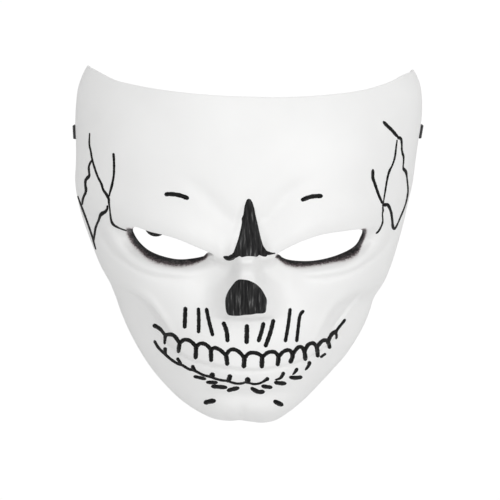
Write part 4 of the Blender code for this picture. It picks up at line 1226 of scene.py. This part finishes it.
left_end, left_ways, left_out = strap_loop(-1)
right_end, right_ways, right_out = strap_loop(1)
route = [tuple(left_end[-1, :2]) + (0.0,)] + list(STRAP_ROUTE) + [tuple(right_end[-1, :2]) + (0.0,)]
lie = respaced(smooth_line(route, False), 0.8, False)[4:-4]
lean = np.radians(np.clip(lie[:, 2], 0.0, 90.0))
ahead = unit(np.gradient(lie[:, :2], axis=0))
level = np.stack([-ahead[:, 1], ahead[:, 0]], axis=1)
ways = np.column_stack([level * np.cos(lean)[:, None], np.sin(lean)])
height = STRAP_LIFT + STRAP_WIDTH / 2 * np.sin(lean) + STRAP_THICK / 2 * np.cos(lean)
strap_middle = np.vstack([left_end, np.column_stack([lie[:, :2], height]), right_end[::-1]])
strap_ways = np.vstack([left_ways, ways, right_ways[::-1]])


def ribbon(middle, ways, width, thick, ribs, gap):
    """A flat ribbon carried along a line: a ribbed outline of the cross-section at even steps.

    The outline is a rounded bar, u across and v through the thickness, whose two faces rise and fall
    as the absolute value of a sine wave with one arch for each rubber cord."""
    run = run_of(middle)
    at = np.linspace(0, run[-1], int(run[-1] / gap))
    line = at_run(at, run, middle)
    way = at_run(at, run, ways)
    on = unit(np.gradient(line, axis=0))
    way = unit(way - (way * on).sum(axis=1)[:, None] * on)
    up = np.cross(on, way)
    u = np.linspace(-1, 1, ribs * 4 + 1)
    body = thick / 2 - RIB_DEPTH + RIB_DEPTH * np.abs(np.sin((u + 1) * ribs * math.pi / 2))
    body *= np.sqrt(np.clip(1 - np.maximum(np.abs(u) - 0.9, 0.0) ** 2 / 0.0115, 0.0, 1.0))
    u = np.concatenate([u, u[::-1][1:-1]])
    v = np.concatenate([body, -body[::-1][1:-1]])
    points = line[:, None] + way[:, None] * u[None, :, None] * width / 2 + up[:, None] * v[None, :, None]
    count = len(u)
    ring = np.arange(count)
    faces = tube_faces(len(line), count)[:, [0, 3, 2, 1]]
    caps = np.stack([ring[::-1], ring + (len(line) - 1) * count])
    across = np.tile(u * width / 2, (len(line), 1))
    marks = np.stack([across, np.repeat(at[:, None], count, axis=1)], axis=2)
    return points.reshape(-1, 3), faces, caps, marks.reshape(-1, 2)


black_elastic, tree, shader = new_finish(
    "black woven elastic", IOR=1.5, Sheen_Weight=0.25, Sheen_Roughness=0.5
)
weave_map = tree.nodes.new("ShaderNodeUVMap")
weave_map.uv_map = "weave"
picks = node(tree, "ShaderNodeTexWave", Scale=0.55, Distortion=0.6)
picks.wave_type = "BANDS"
picks.bands_direction = "Y"
tree.links.new(weave_map.outputs["UV"], picks.inputs["Vector"])
ELASTIC_TONES = ((0.0, (0.008, 0.008, 0.009)), (1.0, (0.032, 0.031, 0.034)))
tree.links.new(toned(tree, picks.outputs["Fac"], ELASTIC_TONES), shader.inputs["Base Color"])
tree.links.new(scaled(tree, picks.outputs["Fac"], 0.95, 0.75), shader.inputs["Roughness"])
bumped(tree, shader, picks.outputs["Fac"], 0.00012)


def elastic(name, parts):
    """One object of black elastic or thread, with the map that its weave follows."""
    points, faces, caps, marks = parts
    groups = [(faces, 0), (caps, 0)]
    made = mesh_piece(name, points, groups, [black_elastic])
    lay_map(made, "weave", groups, marks)
    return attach(made, "root")


strap_body = ribbon(strap_middle, strap_ways, STRAP_WIDTH, STRAP_THICK, STRAP_RIBS, STRAP_STEP)
strap = elastic("strap_elastic", strap_body)
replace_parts(strap, "elastic_strap")

# The stitches: how many, where the first lies from the strap's end, how far on each goes, how far out
# to each side, and the thread's width, thickness and the steps along it.
STITCHES = 10
STITCH_START = 0.9
STITCH_PITCH = 0.42
STITCH_REACH = 2.5
THREAD_WIDTH = 0.34
THREAD_THICK = 0.3
THREAD_STEP = 0.16


def stitching(end_points, out):
    """A thread that zigzags over the strap's sewn end: straight lines between points left and right
    of the strap's middle, carried along as a thin ribbon half sunk into the elastic."""
    number = np.arange(STITCHES)
    sideways = np.array([out[1], -out[0]])
    line = end_points[0, :2] + out * (STITCH_START + STITCH_PITCH * number)[:, None]
    line = line + sideways * (STITCH_REACH * (-1.0) ** number)[:, None]
    top = np.full(STITCHES, end_points[0, 2] + STRAP_THICK / 2)
    line = respaced(np.column_stack([line, top]), THREAD_STEP, False)
    on = np.gradient(line, axis=0)
    way = np.stack([-on[:, 1], on[:, 0], np.zeros(len(on))], axis=1)
    return ribbon(line, way, THREAD_WIDTH, THREAD_THICK, 1, THREAD_STEP)


elastic("left_strap_stitching", stitching(left_end, left_out))
elastic("right_strap_stitching", stitching(right_end, right_out))


# The floor and the light
# A plain white table under soft studio light: a bright room all round and four soft lamps, two over
# the face, one beyond the chin and one beyond the forehead. The camera sees the table as plain white.

TABLE_REACH = 3.0
TABLE_WHITE = (0.74, 0.74, 0.74, 1.0)
ROOM_LIGHT = 0.615
PLAIN_WHITE = 1.02
LAMP_SIZE = 0.8
LAMP_AIM = (0.0, 0.0, 0.04)
LAMPS = (
    ("soft key", (0.15, 0.16, 1.3), 3.3),
    ("side key", (0.7, 0.25, 1.0), 2.1),
    ("low fill", (-0.1, -0.95, 0.8), 1.8),
    ("top light", (-0.1, 0.95, 0.8), 1.9),
)


def shown_plain(tree, lit, plain, end):
    """A mix that shows the plain shader to the camera, and the lit one to every other ray."""
    seen = tree.nodes.new("ShaderNodeLightPath")
    blend = tree.nodes.new("ShaderNodeMixShader")
    tree.links.new(seen.outputs["Is Camera Ray"], blend.inputs["Fac"])
    tree.links.new(lit, blend.inputs[1])
    tree.links.new(plain, blend.inputs[2])
    tree.links.new(blend.outputs["Shader"], tree.nodes[end].inputs["Surface"])


corners = [(x * TABLE_REACH, y * TABLE_REACH, 0.0) for x, y in ((-1, -1), (1, -1), (1, 1), (-1, 1))]
floor_mesh = bpy.data.meshes.new("floor")
floor_mesh.from_pydata(corners, [], [(0, 1, 2, 3)])
floor = bpy.data.objects.new("floor", floor_mesh)
bpy.context.scene.collection.objects.link(floor)
white_table, tree, shader = new_finish("white table", Base_Color=TABLE_WHITE, Roughness=0.9)
glow = node(tree, "ShaderNodeEmission", Strength=PLAIN_WHITE)
shown_plain(tree, shader.outputs["BSDF"], glow.outputs["Emission"], "Material Output")
floor_mesh.materials.append(white_table)

world = bpy.data.worlds.new("studio")
bpy.context.scene.world = world
world.use_nodes = True
tree = world.node_tree
room = tree.nodes["Background"]
room.inputs["Color"].default_value = (1.0, 1.0, 1.0, 1.0)
room.inputs["Strength"].default_value = ROOM_LIGHT
backdrop = node(tree, "ShaderNodeBackground", Strength=PLAIN_WHITE, Color=(1.0, 1.0, 1.0, 1.0))
shown_plain(tree, room.outputs["Background"], backdrop.outputs["Background"], "World Output")

for name, place, power in LAMPS:
    lamp = bpy.data.lights.new(name, "AREA")
    lamp.size = LAMP_SIZE
    lamp.energy = power
    stand = bpy.data.objects.new(name, lamp)
    stand.location = place
    stand.rotation_euler = (Vector(LAMP_AIM) - Vector(place)).to_track_quat("-Z", "Y").to_euler()
    bpy.context.scene.collection.objects.link(stand)

bpy.context.scene.view_settings.view_transform = "Standard"
